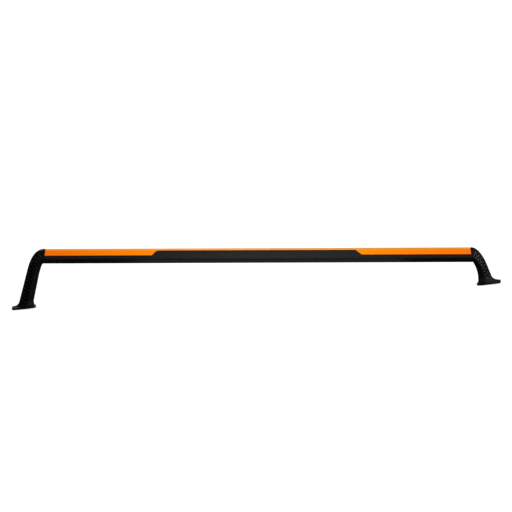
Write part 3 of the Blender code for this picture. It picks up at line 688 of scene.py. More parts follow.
def bar_section_tree():
    """Draws a flat section out along the beam, its ends leaning in towards the top."""
    graph, given = geometry_graph("Bar Section", (
        ("Left End", "Float", -0.5), ("Right End", "Float", 0.5), ("Left Lean", "Float", 0.0),
        ("Right Lean", "Float", 0.0), ("Finish", "Material", None)))
    section = given["Geometry"]
    one_along = graph.node("ShaderNodeCombineXYZ", None, {0: 1.0})
    drawn = graph.node("GeometryNodeExtrudeMesh", {"mode": "FACES"},
                       {"Mesh": section, "Offset": one_along, "Individual": False})
    back = graph.node("GeometryNodeFlipFaces", None, {0: section})
    closed = graph.node("GeometryNodeJoinGeometry", None, {0: [drawn, back]})
    closed = graph.node("GeometryNodeMergeByDistance", None, {"Geometry": closed, "Distance": 0.000001})
    spot = graph.node("GeometryNodeInputPosition")
    x = graph.node("ShaderNodeSeparateXYZ", None, {0: spot}, output=0)
    y = graph.node("ShaderNodeSeparateXYZ", None, {0: spot}, output=1)
    z = graph.node("ShaderNodeSeparateXYZ", None, {0: spot}, output=2)
    far = x.above(0.5)
    left = given["Left End"] + z * given["Left Lean"]
    right = given["Right End"] + z * given["Right Lean"]
    along = left + far * (right - left)
    place = graph.node("ShaderNodeCombineXYZ", None, {0: along, 1: y, 2: z})
    moved = graph.node("GeometryNodeSetPosition", None, {"Geometry": closed, "Position": place})
    return end_graph(graph, moved, given["Finish"])


def lattice_tree():
    """Zigzag ribs between two edge rails, laid on a strip by its UV map."""
    graph, given = geometry_graph("Lattice Ribs", (
        ("Half Cells", "Int", 20), ("Rib Width", "Float", 0.0024), ("Rib Depth", "Float", 0.0022),
        ("Edge Width", "Float", 0.0018), ("Rounding", "Float", 0.0005), ("Rib Inset", "Float", 0.06),
        ("Finish", "Material", None)))
    index = graph.node("GeometryNodeInputIndex")
    inset = given["Rib Inset"]
    zigzag = graph.node("GeometryNodeMeshLine", {"mode": "OFFSET"}, {"Count": given["Half Cells"] + 1})
    side = inset + (index % 2.0) * (1 - 2 * inset)
    spot = graph.node("ShaderNodeCombineXYZ", None, {0: index / given["Half Cells"], 1: side})
    zigzag = graph.node("GeometryNodeSetPosition", None, {"Geometry": zigzag, "Position": spot})
    zigzag = graph.node("GeometryNodeSplitEdges", None, {0: zigzag})
    ribs = graph.node("GeometryNodeMeshToCurve", None, {0: zigzag})
    ribs = graph.node("GeometryNodeSubdivideCurve", None, {"Curve": ribs, "Cuts": 9})

    def line(start, end):
        return graph.node("GeometryNodeCurvePrimitiveLine", None, {"Start": start, "End": end})

    rails = [line((0.0, y, 0.0), (1.0, y, 0.0)) for y in (0.0, 1.0)]
    ends = [line((x, 0.0, 0.0), (x, 1.0, 0.0)) for x in (0.0, 1.0)]
    rails = graph.node("GeometryNodeJoinGeometry", None, {0: rails + ends})
    rails = graph.node("GeometryNodeSubdivideCurve", None, {"Curve": rails, "Cuts": 110})
    placed = [laid_on_strip(graph, given, ribs, given["Rib Width"]),
              laid_on_strip(graph, given, rails, given["Edge Width"])]
    return end_graph(graph, graph.node("GeometryNodeJoinGeometry", None, {0: placed}), given["Finish"])


def laid_on_strip(graph, given, curves, width):
    """Curves drawn in the strip's UV square, moved onto it and given a rounded section."""
    spot = graph.node("GeometryNodeInputPosition")
    uv = graph.node("GeometryNodeInputNamedAttribute", {"data_type": "FLOAT_VECTOR"}, {"Name": "strip_uv"})
    kind = {"data_type": "FLOAT_VECTOR"}
    normal = graph.node("GeometryNodeInputNormal")
    up = graph.node("GeometryNodeSampleUVSurface", kind, {0: given["Geometry"], 1: normal, 2: uv, 3: spot})
    curves = graph.node("GeometryNodeStoreNamedAttribute", dict(kind, domain="POINT"),
                        {"Geometry": curves, "Name": "strip_up", "Value": up})
    there = graph.node("GeometryNodeSampleUVSurface", kind, {0: given["Geometry"], 1: spot, 2: uv, 3: spot})
    curves = graph.node("GeometryNodeSetPosition", None, {"Geometry": curves, "Position": there})
    up = graph.node("GeometryNodeInputNamedAttribute", kind, {"Name": "strip_up"})
    curves = graph.node("GeometryNodeSetCurveNormal", {"mode": "FREE"}, {"Curve": curves, "Normal": up})
    section = graph.node("GeometryNodeCurvePrimitiveQuadrilateral", {"mode": "RECTANGLE"},
                         {"Width": given["Rib Depth"], "Height": width})
    section = graph.node("GeometryNodeFilletCurve", {"mode": "POLY"},
                         {"Curve": section, "Radius": given["Rounding"], "Count": 3})
    return graph.node("GeometryNodeCurveToMesh", None,
                      {"Curve": curves, "Profile Curve": section, "Fill Caps": True})


def fixings_tree():
    """Puts a fixing at each point, turned by a seeded chance amount about its own axis."""
    graph, given = geometry_graph("Fixings", (
        ("Fixing", "Object", None), ("Axis", "Vector", (0.0, 1.0, 0.0)), ("Most Turn", "Float", 1.0),
        ("Seed", "Int", 7), ("Finish", "Material", None)))
    fixing = graph.node("GeometryNodeObjectInfo", {"transform_space": "ORIGINAL"},
                        {"Object": given["Fixing"]}, output="Geometry")
    turn = graph.node("FunctionNodeRandomValue", {"data_type": "FLOAT"},
                      {"Max": given["Most Turn"], "Seed": given["Seed"]}, output=1)
    turn = graph.node("FunctionNodeAxisAngleToRotation", None, {"Axis": given["Axis"], "Angle": turn})
    placed = graph.node("GeometryNodeInstanceOnPoints", None,
                        {"Points": given["Geometry"], "Instance": fixing, "Rotation": turn})
    return end_graph(graph, placed, given["Finish"])


def tree_named(name, make):
    return bpy.data.node_groups.get(name) or make()


def fixings(points, template, axis, slot, seed):
    """Copies of a template mesh at points, made by the fixings tree."""
    dots = bpy.data.meshes.new("dots")
    dots.from_pydata([tuple(point) for point in points], [], [])
    master = holder_of(template, "template")
    tree = tree_named("Fixings", fixings_tree)
    mesh = grown(tree, dots, {"Fixing": master, "Axis": axis, "Most Turn": math.pi, "Seed": seed,
                              "Finish": finish_named(slot)})
    bpy.data.objects.remove(master, do_unlink=True)
    return mesh


# ---------------------------------------------------------------- leg shape

def bezier(p0, p1, p2, p3, t):
    weights = ((1 - t) ** 3, 3 * t * (1 - t) ** 2, 3 * t * t * (1 - t), t ** 3)
    total = Vector((0.0,) * len(p0))
    for point, weight in zip((p0, p1, p2, p3), weights):
        total = total + Vector(point) * weight
    return total


def smooth(t):
    t = min(max(t, 0.0), 1.0)
    return t * t * (3 - 2 * t)


def mix(a, b, t):
    return a + (b - a) * t


def steps(start, end, count):
    return [mix(start, end, i / (count - 1)) for i in range(count)]


def beam_to_world(u, v):
    return Vector((BEAM_MIDDLE.x + u * math.cos(RAKE) + v * math.sin(RAKE),
                   BEAM_MIDDLE.z - u * math.sin(RAKE) + v * math.cos(RAKE)))


def plateau(value, start, end, ramp):
    """1 between start and end, falling smoothly to 0 over a ramp at each."""
    return smooth((value - start) / ramp) * smooth((end - value) / ramp)


SEAL_STACK = (SEAL_THICKNESS + 2 * GAP) / math.cos(JOINT_TILT)
LEG_HALF_HEIGHT = (HALF_HEIGHT + LEG_PROUD) / MM
LEAN = LEG_HALF_HEIGHT * math.tan(JOINT_TILT)
JOINT_TOP = (-LEAN, LEG_HALF_HEIGHT)
JOINT_BOTTOM = (LEAN, -LEG_HALF_HEIGHT)
# A channel's wall, as (share across, share of the depth) from its rim inwards
CHANNEL = ((0.0, 0.0), (0.006, 0.03), (0.013, 0.14), (0.019, 0.34), (0.024, 0.85),
           (0.030, 0.97), (0.045, 1.0))


class Leg:
    """One cast leg, described by a path value s: 0 joint, 1 bend end, 2 ankle, 3 flange top."""

    def __init__(self, name, side, joint_u, outer_bend, inner_bend, ridge_w,
                 ankle_outer_x, ankle_inner_x, toe_thickness, heel_thickness, cells):
        self.name = name
        self.side = side
        self.joint_u = joint_u
        self.outer_bend = outer_bend
        self.inner_bend = inner_bend
        self.ridge_w = ridge_w
        self.ankle = (Vector((side * ankle_outer_x, ANKLE_Z)), Vector((side * ankle_inner_x, ANKLE_Z)))
        self.low_x = (-TOE_X if side < 0 else HEEL_X) + GASKET_EDGE
        self.toe = Vector((side * TOE_X, self.ground(side * TOE_X) + toe_thickness))
        self.heel = Vector((side * HEEL_X, self.ground(side * HEEL_X) + heel_thickness))
        self.cells = cells
        self.seat_end = self.value_at_height(SEAT_BOTTOM_Z)

    def ground(self, x):
        """Height of the gasket's underside above the floor."""
        return (x - self.low_x) * math.tan(SOLE_TILT)

    def on_sole(self, x, y):
        """Matrix at a point of the metal sole, its +Z straight up from it."""
        place = Matrix.Translation((x, y, self.ground(x) + SOLE_Z))
        return place @ Matrix.Rotation(-SOLE_TILT, 4, "Y")

    def bend_point(self, curve, t):
        out, up = bezier(*curve, t) * MM
        return beam_to_world(self.joint_u + self.side * out, up)

    def outline(self, s):
        if s <= 1:
            return self.bend_point(self.outer_bend, s), self.bend_point(self.inner_bend, s)
        if s <= 2:
            ends = self.bend_point(self.outer_bend, 1), self.bend_point(self.inner_bend, 1)
            return tuple(end.lerp(ankle, s - 1) for end, ankle in zip(ends, self.ankle))
        outer, inner = self.ankle
        out = Vector((self.side * MM, 0.0))
        up = Vector((0.0, MM))
        outer_drop = Vector((0.0, (self.toe.y - outer.y) * OUTER_DROP))
        inner_drop = Vector((0.0, (self.heel.y - inner.y) * INNER_DROP))
        t = s - 2
        return (
            bezier(outer, outer + out * 3 + outer_drop, self.toe - out * 17 + up * 2, self.toe, t),
            bezier(inner, inner + inner_drop, self.heel + out * 4 + up * 0.6, self.heel, t),
        )

    def corners(self, s):
        """Top back, top front, ridge, bottom front and bottom back corner of the section."""
        bend = smooth(s)
        top_front = mix(TOP_FRONT_Y, LEG_EDGE_Y, bend)
        ridge_w = mix((FOLD_V + HALF_HEIGHT) / (2 * HALF_HEIGHT), self.ridge_w, bend)
        bottom_front = mix(BOTTOM_FRONT_Y, LEG_EDGE_Y, bend)
        back, ridge = BACK_Y, FOLD_Y - LEG_PROUD
        outer, inner = self.outline(s)
        if s > 2:
            spread = abs(outer.x - self.ankle[0].x) / (TOE_X - abs(self.ankle[0].x))
            top_front = mix(top_front, FOOT_FRONT_Y, spread)
            bottom_front = mix(bottom_front, FOOT_FRONT_Y, spread)
            ridge_w = mix(ridge_w, FOOT_RIDGE_W, spread)
            back = mix(back, FOOT_BACK_Y, spread)
            ridge = mix(ridge, FOOT_RIDGE_Y, spread)
        middle = inner.lerp(outer, ridge_w)
        return [
            Vector((outer.x, back, outer.y)), Vector((outer.x, top_front, outer.y)),
            Vector((middle.x, ridge, middle.y)),
            Vector((inner.x, bottom_front, inner.y)), Vector((inner.x, back, inner.y)),
        ]

    def facet_normal(self, s):
        _, edge, ridge, _, _ = self.corners(s)
        _, edge_on, ridge_on, _, _ = self.corners(s + 0.01)
        normal = (edge - ridge).cross((edge_on + ridge_on) - (edge + ridge)).normalized()
        return -normal if normal.y > 0 else normal

    def facet_point(self, s, across, lift=0.0):
        """A point on the outer facet, across it from the ridge, lifted off it."""
        _, edge, ridge, _, _ = self.corners(s)
        return ridge.lerp(edge, across) + self.facet_normal(s) * lift

    def back_point(self, s, across, y):
        outer, inner = self.outline(s)
        point = inner.lerp(outer, across)
        return Vector((point.x, y, point.y))

    def value_at_height(self, z):
        low, high = 0.0, 3.0
        for _ in range(40):
            s = (low + high) / 2
            outer, inner = self.outline(s)
            if (outer.y + inner.y) / 2 > z:
                low = s
            else:
                high = s
        return low

    def recess(self, s):
        return plateau(s, *RECESS_SPAN, RECESS_RAMP)

    def seat(self, s):
        return plateau(s, SEAT_START, self.seat_end + SEAT_REACH, SEAT_RAMP)

    def ring(self, s):
        """The section's points, and how deep in the front recess each of them is."""
        foot = smooth(s - 2)
        corners = self.corners(s)
        count = len(corners)
        arcs = []
        for i, radius in enumerate(ENVELOPE_RADII):
            arcs.append(corner_arc(corners[i - 1], corners[i], corners[(i + 1) % count],
                                   mix(radius, FOOT_CORNER, foot)))
        sunk = self.facet_normal(s) * -RECESS_DEPTH * self.recess(s)
        pushed = Vector((0.0, (SEAT_Y - corners[4].y) * self.seat(s), 0.0))
        margin = LATTICE_MARGINS[0] - RECESS_CLEARANCE
        front = channel(corners[1], corners[2], arcs[1][-1], arcs[2][0], margin, sunk)
        back = channel(corners[4], corners[0], arcs[4][-1], arcs[0][0], BACK_COVER_SIDES[0] - 0.012, pushed)
        points = arcs[0] + arcs[1] + [point for point, _ in front] + arcs[2] + arcs[3] + arcs[4]
        points += [point for point, _ in back]
        depths = [0.0] * (len(arcs[0]) + len(arcs[1])) + [depth * self.recess(s) for _, depth in front]
        depths += [0.0] * (len(points) - len(depths))
        return points, depths

    def stations(self):
        values = steps(0, 1, 34) + steps(1, 2, 16) + steps(2, 3, 30)
        for edge, way in ((RECESS_SPAN[0], RECESS_RAMP), (RECESS_SPAN[1], -RECESS_RAMP),
                          (SEAT_START, SEAT_RAMP), (self.seat_end + SEAT_REACH, -SEAT_RAMP)):
            values += [edge + way * part for part in (-0.1, 0.0, 0.2, 0.4, 0.6, 0.8, 1.0, 1.1)]
        kept = []
        for value in sorted(values):
            if not kept or value - kept[-1] > 0.0015:
                kept.append(value)
        return kept


def channel(first, last, start, end, margin, sunk):
    """Points of a sunk channel between two corners, clear of their rounding, with their depths."""
    span = last - first
    low = (start - first).length / span.length
    high = 1 - (end - last).length / span.length
    rows = [(margin + reach, depth) for reach, depth in CHANNEL]
    rows += [(1 - margin - reach, depth) for reach, depth in reversed(CHANNEL)]
    near = max(margin, low + 0.012)
    far = min(1 - margin, high - 0.012)
    points = []
    for across, depth in rows:
        place = mix(near, far, (across - margin) / (1 - 2 * margin))
        points.append((first + span * place + sunk * depth, depth))
    return points


LEGS = (
    Leg("left", -1, BEAM_LEFT_U - SEAL_STACK,
        outer_bend=(JOINT_TOP, (31.0, 23.0), (45.6, -13.0), (54.6, -50.0)),
        inner_bend=(JOINT_BOTTOM, (6.0, -23.0), (9.5, -33.0), (15.7, -57.0)),
        ridge_w=0.43, ankle_outer_x=755.5 * MM, ankle_inner_x=710.0 * MM,
        toe_thickness=7.0 * MM, heel_thickness=4.4 * MM, cells=26),
    Leg("right", 1, BEAM_RIGHT_U + SEAL_STACK,
        outer_bend=(JOINT_TOP, (21.0, 22.5), (40.5, -9.5), (55.0, -50.0)),
        inner_bend=(JOINT_BOTTOM, (6.0, -25.5), (12.5, -36.0), (18.0, -57.0)),
        ridge_w=0.5, ankle_outer_x=752.0 * MM, ankle_inner_x=709.2 * MM,
        toe_thickness=5.8 * MM, heel_thickness=4.4 * MM, cells=16),
)


# ---------------------------------------------------------------- beam pieces

def front_y(v):
    return mix(FOLD_Y, TOP_FRONT_Y, (v - FOLD_V) / (HALF_HEIGHT - FOLD_V))


def inside_front(v, inset):
    return front_y(v) + inset / math.sin(FACET_ANGLE)


def drawn_bar(outlines, left, right, slot):
    """A section drawn between two tilted joint faces, in place."""
    flat = filled(outlines, 0.0)
    shape = bmesh.new()
    shape.from_mesh(flat)
    for vert in shape.verts:
        vert.co = (0.0, vert.co.x, vert.co.y)
    section = from_bmesh(shape, "section", recalculate=False)
    if section.polygons[0].normal.x < 0:
        section.flip_normals()
    lean = math.tan(JOINT_TILT)
    tree = tree_named("Bar Section", bar_section_tree)
    mesh = grown(tree, section, {"Left End": left, "Right End": right, "Left Lean": lean,
                                 "Right Lean": -lean, "Finish": finish_named(slot)})
    shape = bmesh.new()
    shape.from_mesh(mesh)
    return from_bmesh(shape, "drawn")


def facet_matrix(u, v, lift=0.0):
    """Beam coordinates of a plate lying on the front facet, its +Z out of it."""
    out = Vector((0.0, -math.sin(FACET_ANGLE), math.cos(FACET_ANGLE)))
    return Matrix.Translation(Vector((u, front_y(v), v)) + out * lift) @ Matrix.Rotation(FACET_ANGLE, 4, "X")


def joint_screw_places():
    for name, side, end in (("left", 1, BEAM_LEFT_U), ("right", -1, BEAM_RIGHT_U)):
        yield name, [end + side * offset for offset in JOINT_SCREW_OFFSETS]


def clip_holes():
    return [rod(CLIP_HOLE_R, CLIP_HOLE_DEPTH, facet_matrix(u, CLIP_V)) for u in CLIP_U]


def build_beam(sizes):
    step = RAIL_THICKNESS + GAP
    top_v = HALF_HEIGHT - step
    fold = Vector((FOLD_Y, FOLD_V))
    low = Vector((BOTTOM_FRONT_Y, -HALF_HEIGHT))
    inward = Vector((low.y - fold.y, fold.x - low.x)).normalized() * -sizes.groove_depth
    groove = [fold.lerp(low, share) + inward * deep for share, deep in GROOVE]
    outline = rounded(
        [(BACK_Y, RAIL_BACK_V - GAP), (BACK_Y - step, RAIL_BACK_V - GAP), (BACK_Y - step, top_v),
         (inside_front(top_v, step), top_v), (inside_front(RAIL_FRONT_V - GAP, step), RAIL_FRONT_V - GAP),
         (front_y(RAIL_FRONT_V - GAP), RAIL_FRONT_V - GAP), fold, *groove, low, (BACK_Y, -HALF_HEIGHT)],
        [0.3 * MM, 0.3 * MM, 2.0 * MM, 1.0 * MM, 0.3 * MM, 0.4 * MM, 1.5 * MM,
         0.2 * MM, 0.2 * MM, 0.2 * MM, 0.2 * MM, 2.5 * MM, 4.0 * MM])
    hollow = rounded(HOLLOW, [HOLLOW_RADIUS] * len(HOLLOW))
    mesh = drawn_bar((outline, hollow), BEAM_LEFT_U, BEAM_RIGHT_U, "black_anodised")
    holes = clip_holes()
    for _, places in joint_screw_places():
        for u in places:
            turn = Matrix.Rotation(-math.pi / 2, 4, "X")
            holes.append(rod(JOINT_SCREW_R + GAP, BEAM_SCREW_HOLE,
                             Matrix.Translation((u, BACK_Y, JOINT_SCREW_V)) @ turn))
    mesh = cut(mesh, holes)
    mesh.transform(on_beam())
    return new_piece("beam", mesh, "black_anodised", ("beam_extrusion",))


def build_rail(sizes):
    inner_top = HALF_HEIGHT - RAIL_THICKNESS
    outline = rounded(
        [(BACK_Y, RAIL_BACK_V), (BACK_Y, HALF_HEIGHT), (TOP_FRONT_Y, HALF_HEIGHT),
         (front_y(RAIL_FRONT_V), RAIL_FRONT_V), (inside_front(RAIL_FRONT_V, RAIL_THICKNESS), RAIL_FRONT_V),
         (inside_front(inner_top, RAIL_THICKNESS), inner_top), (BACK_Y - RAIL_THICKNESS, inner_top),
         (BACK_Y - RAIL_THICKNESS, RAIL_BACK_V)],
        [0.5 * MM, 4.0 * MM, sizes.rail_rounding, 0.6 * MM, 0.4 * MM, 0.8 * MM, 2.0 * MM, 0.4 * MM])
    mesh = drawn_bar((outline,), BEAM_LEFT_U, BEAM_RIGHT_U, "orange_coat")
    mesh = cut(mesh, clip_holes())
    mesh.transform(on_beam())
    return new_piece("rail", mesh, "orange_coat", ("accent_rail",))


def build_center_cover(sizes):
    """A shallow tray on the facet: a flat face, crowned edges and small corner radii."""
    low, high = COVER_V
    slope = math.sin(FACET_ANGLE)
    corners = ((COVER_LEFT_U[0], (low - CLIP_V) / slope), (COVER_RIGHT_U[0], (low - CLIP_V) / slope),
               (COVER_RIGHT_U[1], (high - CLIP_V) / slope), (COVER_LEFT_U[1], (high - CLIP_V) / slope))
    crown = sizes.cover_crown
    side = COVER_THICKNESS - crown
    rows = [(0.15 * MM, 0.0), (0.0, 0.15 * MM)]
    rows += [(crown * (1 - math.cos(a)), side + crown * math.sin(a)) for a in steps(0.0, math.pi / 2, 7)]
    rings = []
    for inset, height in rows:
        outline = rounded(shrink(corners, inset), [sizes.cover_corner] * 4, 8)
        rings.append([Vector((point.x, point.y, height)) for point in outline])
    mesh = loft(rings, "cover")
    mesh.transform(on_beam() @ facet_matrix(0.0, CLIP_V, GAP))
    return new_piece("center_cover_shell", mesh, "cover_plastic", ("center_cover",))


def build_seals(sizes):
    outline = rounded(shrink(ENVELOPE, sizes.seal_inset), ENVELOPE_RADII)
    hole = rounded(shrink(HOLLOW, -TONGUE_CLEARANCE), [HOLLOW_RADIUS] * len(HOLLOW))
    lean = math.tan(JOINT_TILT)
    thin = SEAL_THICKNESS / math.cos(JOINT_TILT)
    start = GAP / math.cos(JOINT_TILT)
    for name, side, end in (("left", -1, BEAM_LEFT_U), ("right", 1, BEAM_RIGHT_U)):
        mesh = filled((outline, hole), 1.0)
        for vert in mesh.vertices:
            y, v, way = vert.co
            reach = start + (thin if way > 0 else 0.0)
            vert.co = (end + side * (reach - v * lean), y, v)
        if side < 0:
            mesh.flip_normals()
        mesh.transform(on_beam())
        shape = bmesh.new()
        shape.from_mesh(mesh)
        new_piece(f"{name}_seal", from_bmesh(shape, "seal"), "rubber", (f"{name}_joint_seal",))


# ---------------------------------------------------------------- leg pieces

def build_leg(leg):
    rings, depths = zip(*(leg.ring(s) for s in leg.stations()))
    rings, depths = list(rings), list(depths)
    edge = rings[-1]
    middle = sum(edge, Vector()) / len(edge)
    for lift, shrunk in ((0.4 * MM, 1.0), (0.12 * MM, 0.996), (0.0, 0.99)):
        rings.append([Vector((mix(middle.x, point.x, shrunk), mix(middle.y, point.y, shrunk),
                              leg.ground(point.x) + SOLE_Z + lift)) for point in edge])
        depths.append(depths[-1])
    mesh = loft(rings, "leg", depths)

    outline = rounded(shrink(HOLLOW, TONGUE_CLEARANCE), [HOLLOW_RADIUS] * len(HOLLOW), 4)
    tongue = filled((outline,), TONGUE_LENGTH + TONGUE_ROOT)
    tongue_u = leg.joint_u - leg.side * (TONGUE_LENGTH - TONGUE_ROOT) / 2
    tongue.transform(on_beam() @ Matrix.Translation((tongue_u, 0, 0))
                     @ Matrix.Rotation(math.pi / 2, 4, "Z") @ Matrix.Rotation(math.pi / 2, 4, "X"))
    mesh = cut(mesh, [tongue], "UNION")

    holes = []
    turn = Matrix.Rotation(-math.pi / 2, 4, "X")
    for name, places in joint_screw_places():
        if name == leg.name:
            for u in places:
                holes.append(rod(JOINT_SCREW_R + GAP, LEG_SCREW_HOLE,
                                 on_beam() @ Matrix.Translation((u, BACK_Y - MM, JOINT_SCREW_V)) @ turn))
    for x, y, radius, length in insert_and_toe_holes(leg):
        holes.append(rod(radius, length, leg.on_sole(x, y), 40))
    for point in cover_screw_points(leg):
        holes.append(rod(COVER_SCREW_R + GAP, 2 * COVER_SCREW_LENGTH, Matrix.Translation(point) @ turn))
    mesh = cut(mesh, holes)
    return new_piece(f"{leg.name}_cast_leg", mesh, "leg_coat", (f"{leg.name}_leg",), sharp=38.0)


def insert_and_toe_holes(leg):
    for y in INSERT_Y:
        yield leg.side * INSERT_X, y, INSERT_R + GAP, 2 * (INSERT_HEIGHT + GAP)
    yield leg.side * TOE_HOLE[0], TOE_HOLE[1], TOE_HOLE_R, TOE_HOLE_LENGTH


def cover_screw_points(leg):
    for s in (COVER_SCREW_TOP, leg.value_at_height(COVER_SCREW_BOTTOM_Z)):
        yield leg.back_point(s, 0.5, BACK_Y)


def build_lattice(leg, sizes):
    """The facet's strip with its UV square, and the ribs that the tree lays on it."""
    low, high = LATTICE_SPAN
    fine = steps(low, high, 160)
    middles = [leg.facet_point(s, 0.5) for s in fine]
    lengths = [0.0]
    for here, there in zip(middles, middles[1:]):
        lengths.append(lengths[-1] + (there - here).length)
    lift = sizes.rib_depth / 2 - RECESS_DEPTH + 0.04 * MM
    shape = bmesh.new()
    uv_layer = shape.loops.layers.uv.new("strip_uv")
    near, far = LATTICE_MARGINS[0] + PANEL_INSET, LATTICE_MARGINS[1] - PANEL_INSET
    rows = []
    for s, length in zip(fine, lengths):
        row = []
        for across in STRIP_ROWS:
            vert = shape.verts.new(leg.facet_point(s, mix(near, far, across), lift))
            row.append((vert, length / lengths[-1], across))
        rows.append(row)
    stretch = 1.004
    for row, following in zip(rows, rows[1:]):
        for i in range(len(row) - 1):
            quad = (row[i], row[i + 1], following[i + 1], following[i])
            face = shape.faces.new([vert for vert, _, _ in quad])
            for loop, (_, u, v) in zip(face.loops, quad):
                loop[uv_layer].uv = ((u - 0.5) * stretch + 0.5, v)
    shape.normal_update()
    if sum(face.normal.y for face in shape.faces) > 0:
        bmesh.ops.reverse_faces(shape, faces=list(shape.faces))
    strip = bpy.data.meshes.new("strip")
    shape.to_mesh(strip)
    shape.free()
    tree = tree_named("Lattice Ribs", lattice_tree)
    mesh = grown(tree, strip, {"Half Cells": leg.cells, "Rib Width": sizes.rib_width,
                               "Rib Depth": sizes.rib_depth, "Edge Width": sizes.rib_edge,
                               "Rounding": sizes.rib_rounding, "Finish": finish_named("lattice_plastic")})
    shape = bmesh.new()
    shape.from_mesh(mesh)
    new_piece(f"{leg.name}_lattice", from_bmesh(shape, "lattice"), "lattice_plastic",
              (f"{leg.name}_lattice_panel",), sharp=50.0)


def build_back_cover(leg, sizes):
    """A thin curved plate in its seat, with crowned edges and rounded corners."""
    top, bottom = BACK_COVER_TOP, leg.value_at_height(BACK_COVER_BOTTOM_Z)
    values = steps(top, bottom, 60)
    left = [leg.back_point(s, BACK_COVER_SIDES[0], 0.0) for s in values]
    right = [leg.back_point(s, BACK_COVER_SIDES[1], 0.0) for s in values]
    corner = sizes.back_cover_corner

    def flat(points):
        return [Vector((point.x, point.z)) for point in points]

    left, right = flat(left), flat(right)
    outline = (left[2:-2] + corner_arc(left[-3], left[-1], right[-1], corner)
               + corner_arc(left[-1], right[-1], right[-3], corner) + right[-3:1:-1]
               + corner_arc(right[2], right[0], left[0], corner)
               + corner_arc(right[0], left[0], left[2], corner))
    holes = [circle(point.x, point.z, COVER_SCREW_R + GAP, 24) for point in cover_screw_points(leg)]
    mesh = filled((outline, *holes), BACK_COVER_THICKNESS)
    mesh.transform(Matrix.Translation((0.0, BACK_Y - BACK_COVER_THICKNESS / 2, 0.0))
                   @ Matrix.Rotation(math.pi / 2, 4, "X"))
    mesh = bevelled(mesh, 0.35 * MM, 3)
    new_piece(f"{leg.name}_rear_cover", mesh, "cover_plastic", (f"{leg.name}_back_cover",))


def build_gasket(leg, sizes):
    middle = leg.side * (TOE_X + HEEL_X) / 2
    outline = thinned([((point.x - middle) * GASKET_TRIM, point.y) for point in leg.ring(3)[0]])
    holes = [circle(leg.side * TOE_HOLE[0] - middle, TOE_HOLE[1], TOE_HOLE_R, 32)]
    holes += [circle(leg.side * INSERT_X - middle, y, INSERT_BORE_R + GAP, 32) for y in INSERT_Y]
    mesh = bevelled(filled((outline, *holes), GASKET_THICKNESS), sizes.gasket_rounding, 3, 50.0)
    place = Matrix.Translation((middle, 0.0, leg.ground(middle) + GASKET_THICKNESS / 2))
    mesh.transform(place @ Matrix.Rotation(-SOLE_TILT, 4, "Y"))
    new_piece(f"{leg.name}_gasket", mesh, "rubber", (f"{leg.name}_foot_gasket",))


def thinned(outline, least=0.25 * MM):
    """The outline without points that lie closer together than a least distance."""
    kept = []
    for point in outline:
        if not kept or math.dist(point, kept[-1]) > least:
            kept.append(point)
    if math.dist(kept[0], kept[-1]) < least:
        kept.pop()
    return kept


# ---------------------------------------------------------------- screws and inserts

def turned(profile, segments=36, socket=None):
    """A solid turned round Z from (radius, height) points, with a hexagon socket in its top.

    socket is its width across flats and depth; the profile then starts at the socket's rim.
    """
    angles = [math.tau * i / segments for i in range(segments)]

    def ring(radius, height, hexagon=False):
        points = []
        for angle in angles:
            reach = radius
            if hexagon:
                reach = radius / math.cos((angle + math.pi / 6) % (math.pi / 3) - math.pi / 6)
            points.append(Vector((reach * math.cos(angle), reach * math.sin(angle), height)))
        return points

    rings = []
    if socket is not None:
        width, depth = socket
        top = profile[0][1]
        rings = [ring(width * 0.25, top - depth, True), ring(width / 2, top - depth, True),
                 ring(width / 2, top - 0.15 * MM, True), ring(width / 2 + 0.12 * MM, top, True)]
    rings += [ring(radius, height) for radius, height in profile]
    return loft(rings, "turned")


def button_screw(radius, length):
    """A button-head screw with its head from height 0 up, and rings for its thread below."""
    crown = [(radius * 0.98, radius), (radius * 1.2, radius * 0.93), (radius * 1.42, radius * 0.76),
             (radius * 1.6, radius * 0.5), (radius * 1.72, radius * 0.22), (radius * 1.75, radius * 0.08),
             (radius * 1.7, 0.0), (radius * 0.98, 0.0)]
    thread = []
    height = -1.5 * MM
    pitch = radius / 3
    while height > -length + 2 * pitch:
        thread += [(radius * 0.98, height), (radius * 0.98, height - pitch * 0.15),
                   (radius * 0.82, height - pitch * 0.5), (radius * 0.82, height - pitch * 0.65)]
        height -= pitch
    tip = [(radius * 0.98, -length + 1.5 * pitch), (radius * 0.7, -length)]
    screw = turned(crown + thread + tip, socket=(radius * 1.32, radius * 0.62))
    screw.transform(Matrix.Rotation(-math.pi / 2, 4, "X"))
    return screw


def build_joint_screws():
    screw = button_screw(JOINT_SCREW_R, JOINT_SCREW_LENGTH)
    for seed, (name, places) in enumerate(joint_screw_places(), 3):
        points = [on_beam() @ Vector((u, BACK_Y + GAP / 2, JOINT_SCREW_V)) for u in places]
        mesh = fixings(points, screw.copy(), (0.0, 1.0, 0.0), "screw_steel", seed)
        new_piece(f"{name}_joint_screws", mesh, "screw_steel",
                  tuple(f"{name}_joint_screw_{i}" for i in (1, 2)), sharp=28.0)


def build_cover_screws():
    screw = button_screw(COVER_SCREW_R, COVER_SCREW_LENGTH)
    for seed, leg in enumerate(LEGS, 11):
        points = [point + Vector((0.0, GAP / 2, 0.0)) for point in cover_screw_points(leg)]
        mesh = fixings(points, screw.copy(), (0.0, 1.0, 0.0), "screw_steel", seed)
        new_piece(f"{leg.name}_cover_screws", mesh, "screw_steel",
                  tuple(f"{leg.name}_cover_screw_{i}" for i in (1, 2)), sharp=28.0)


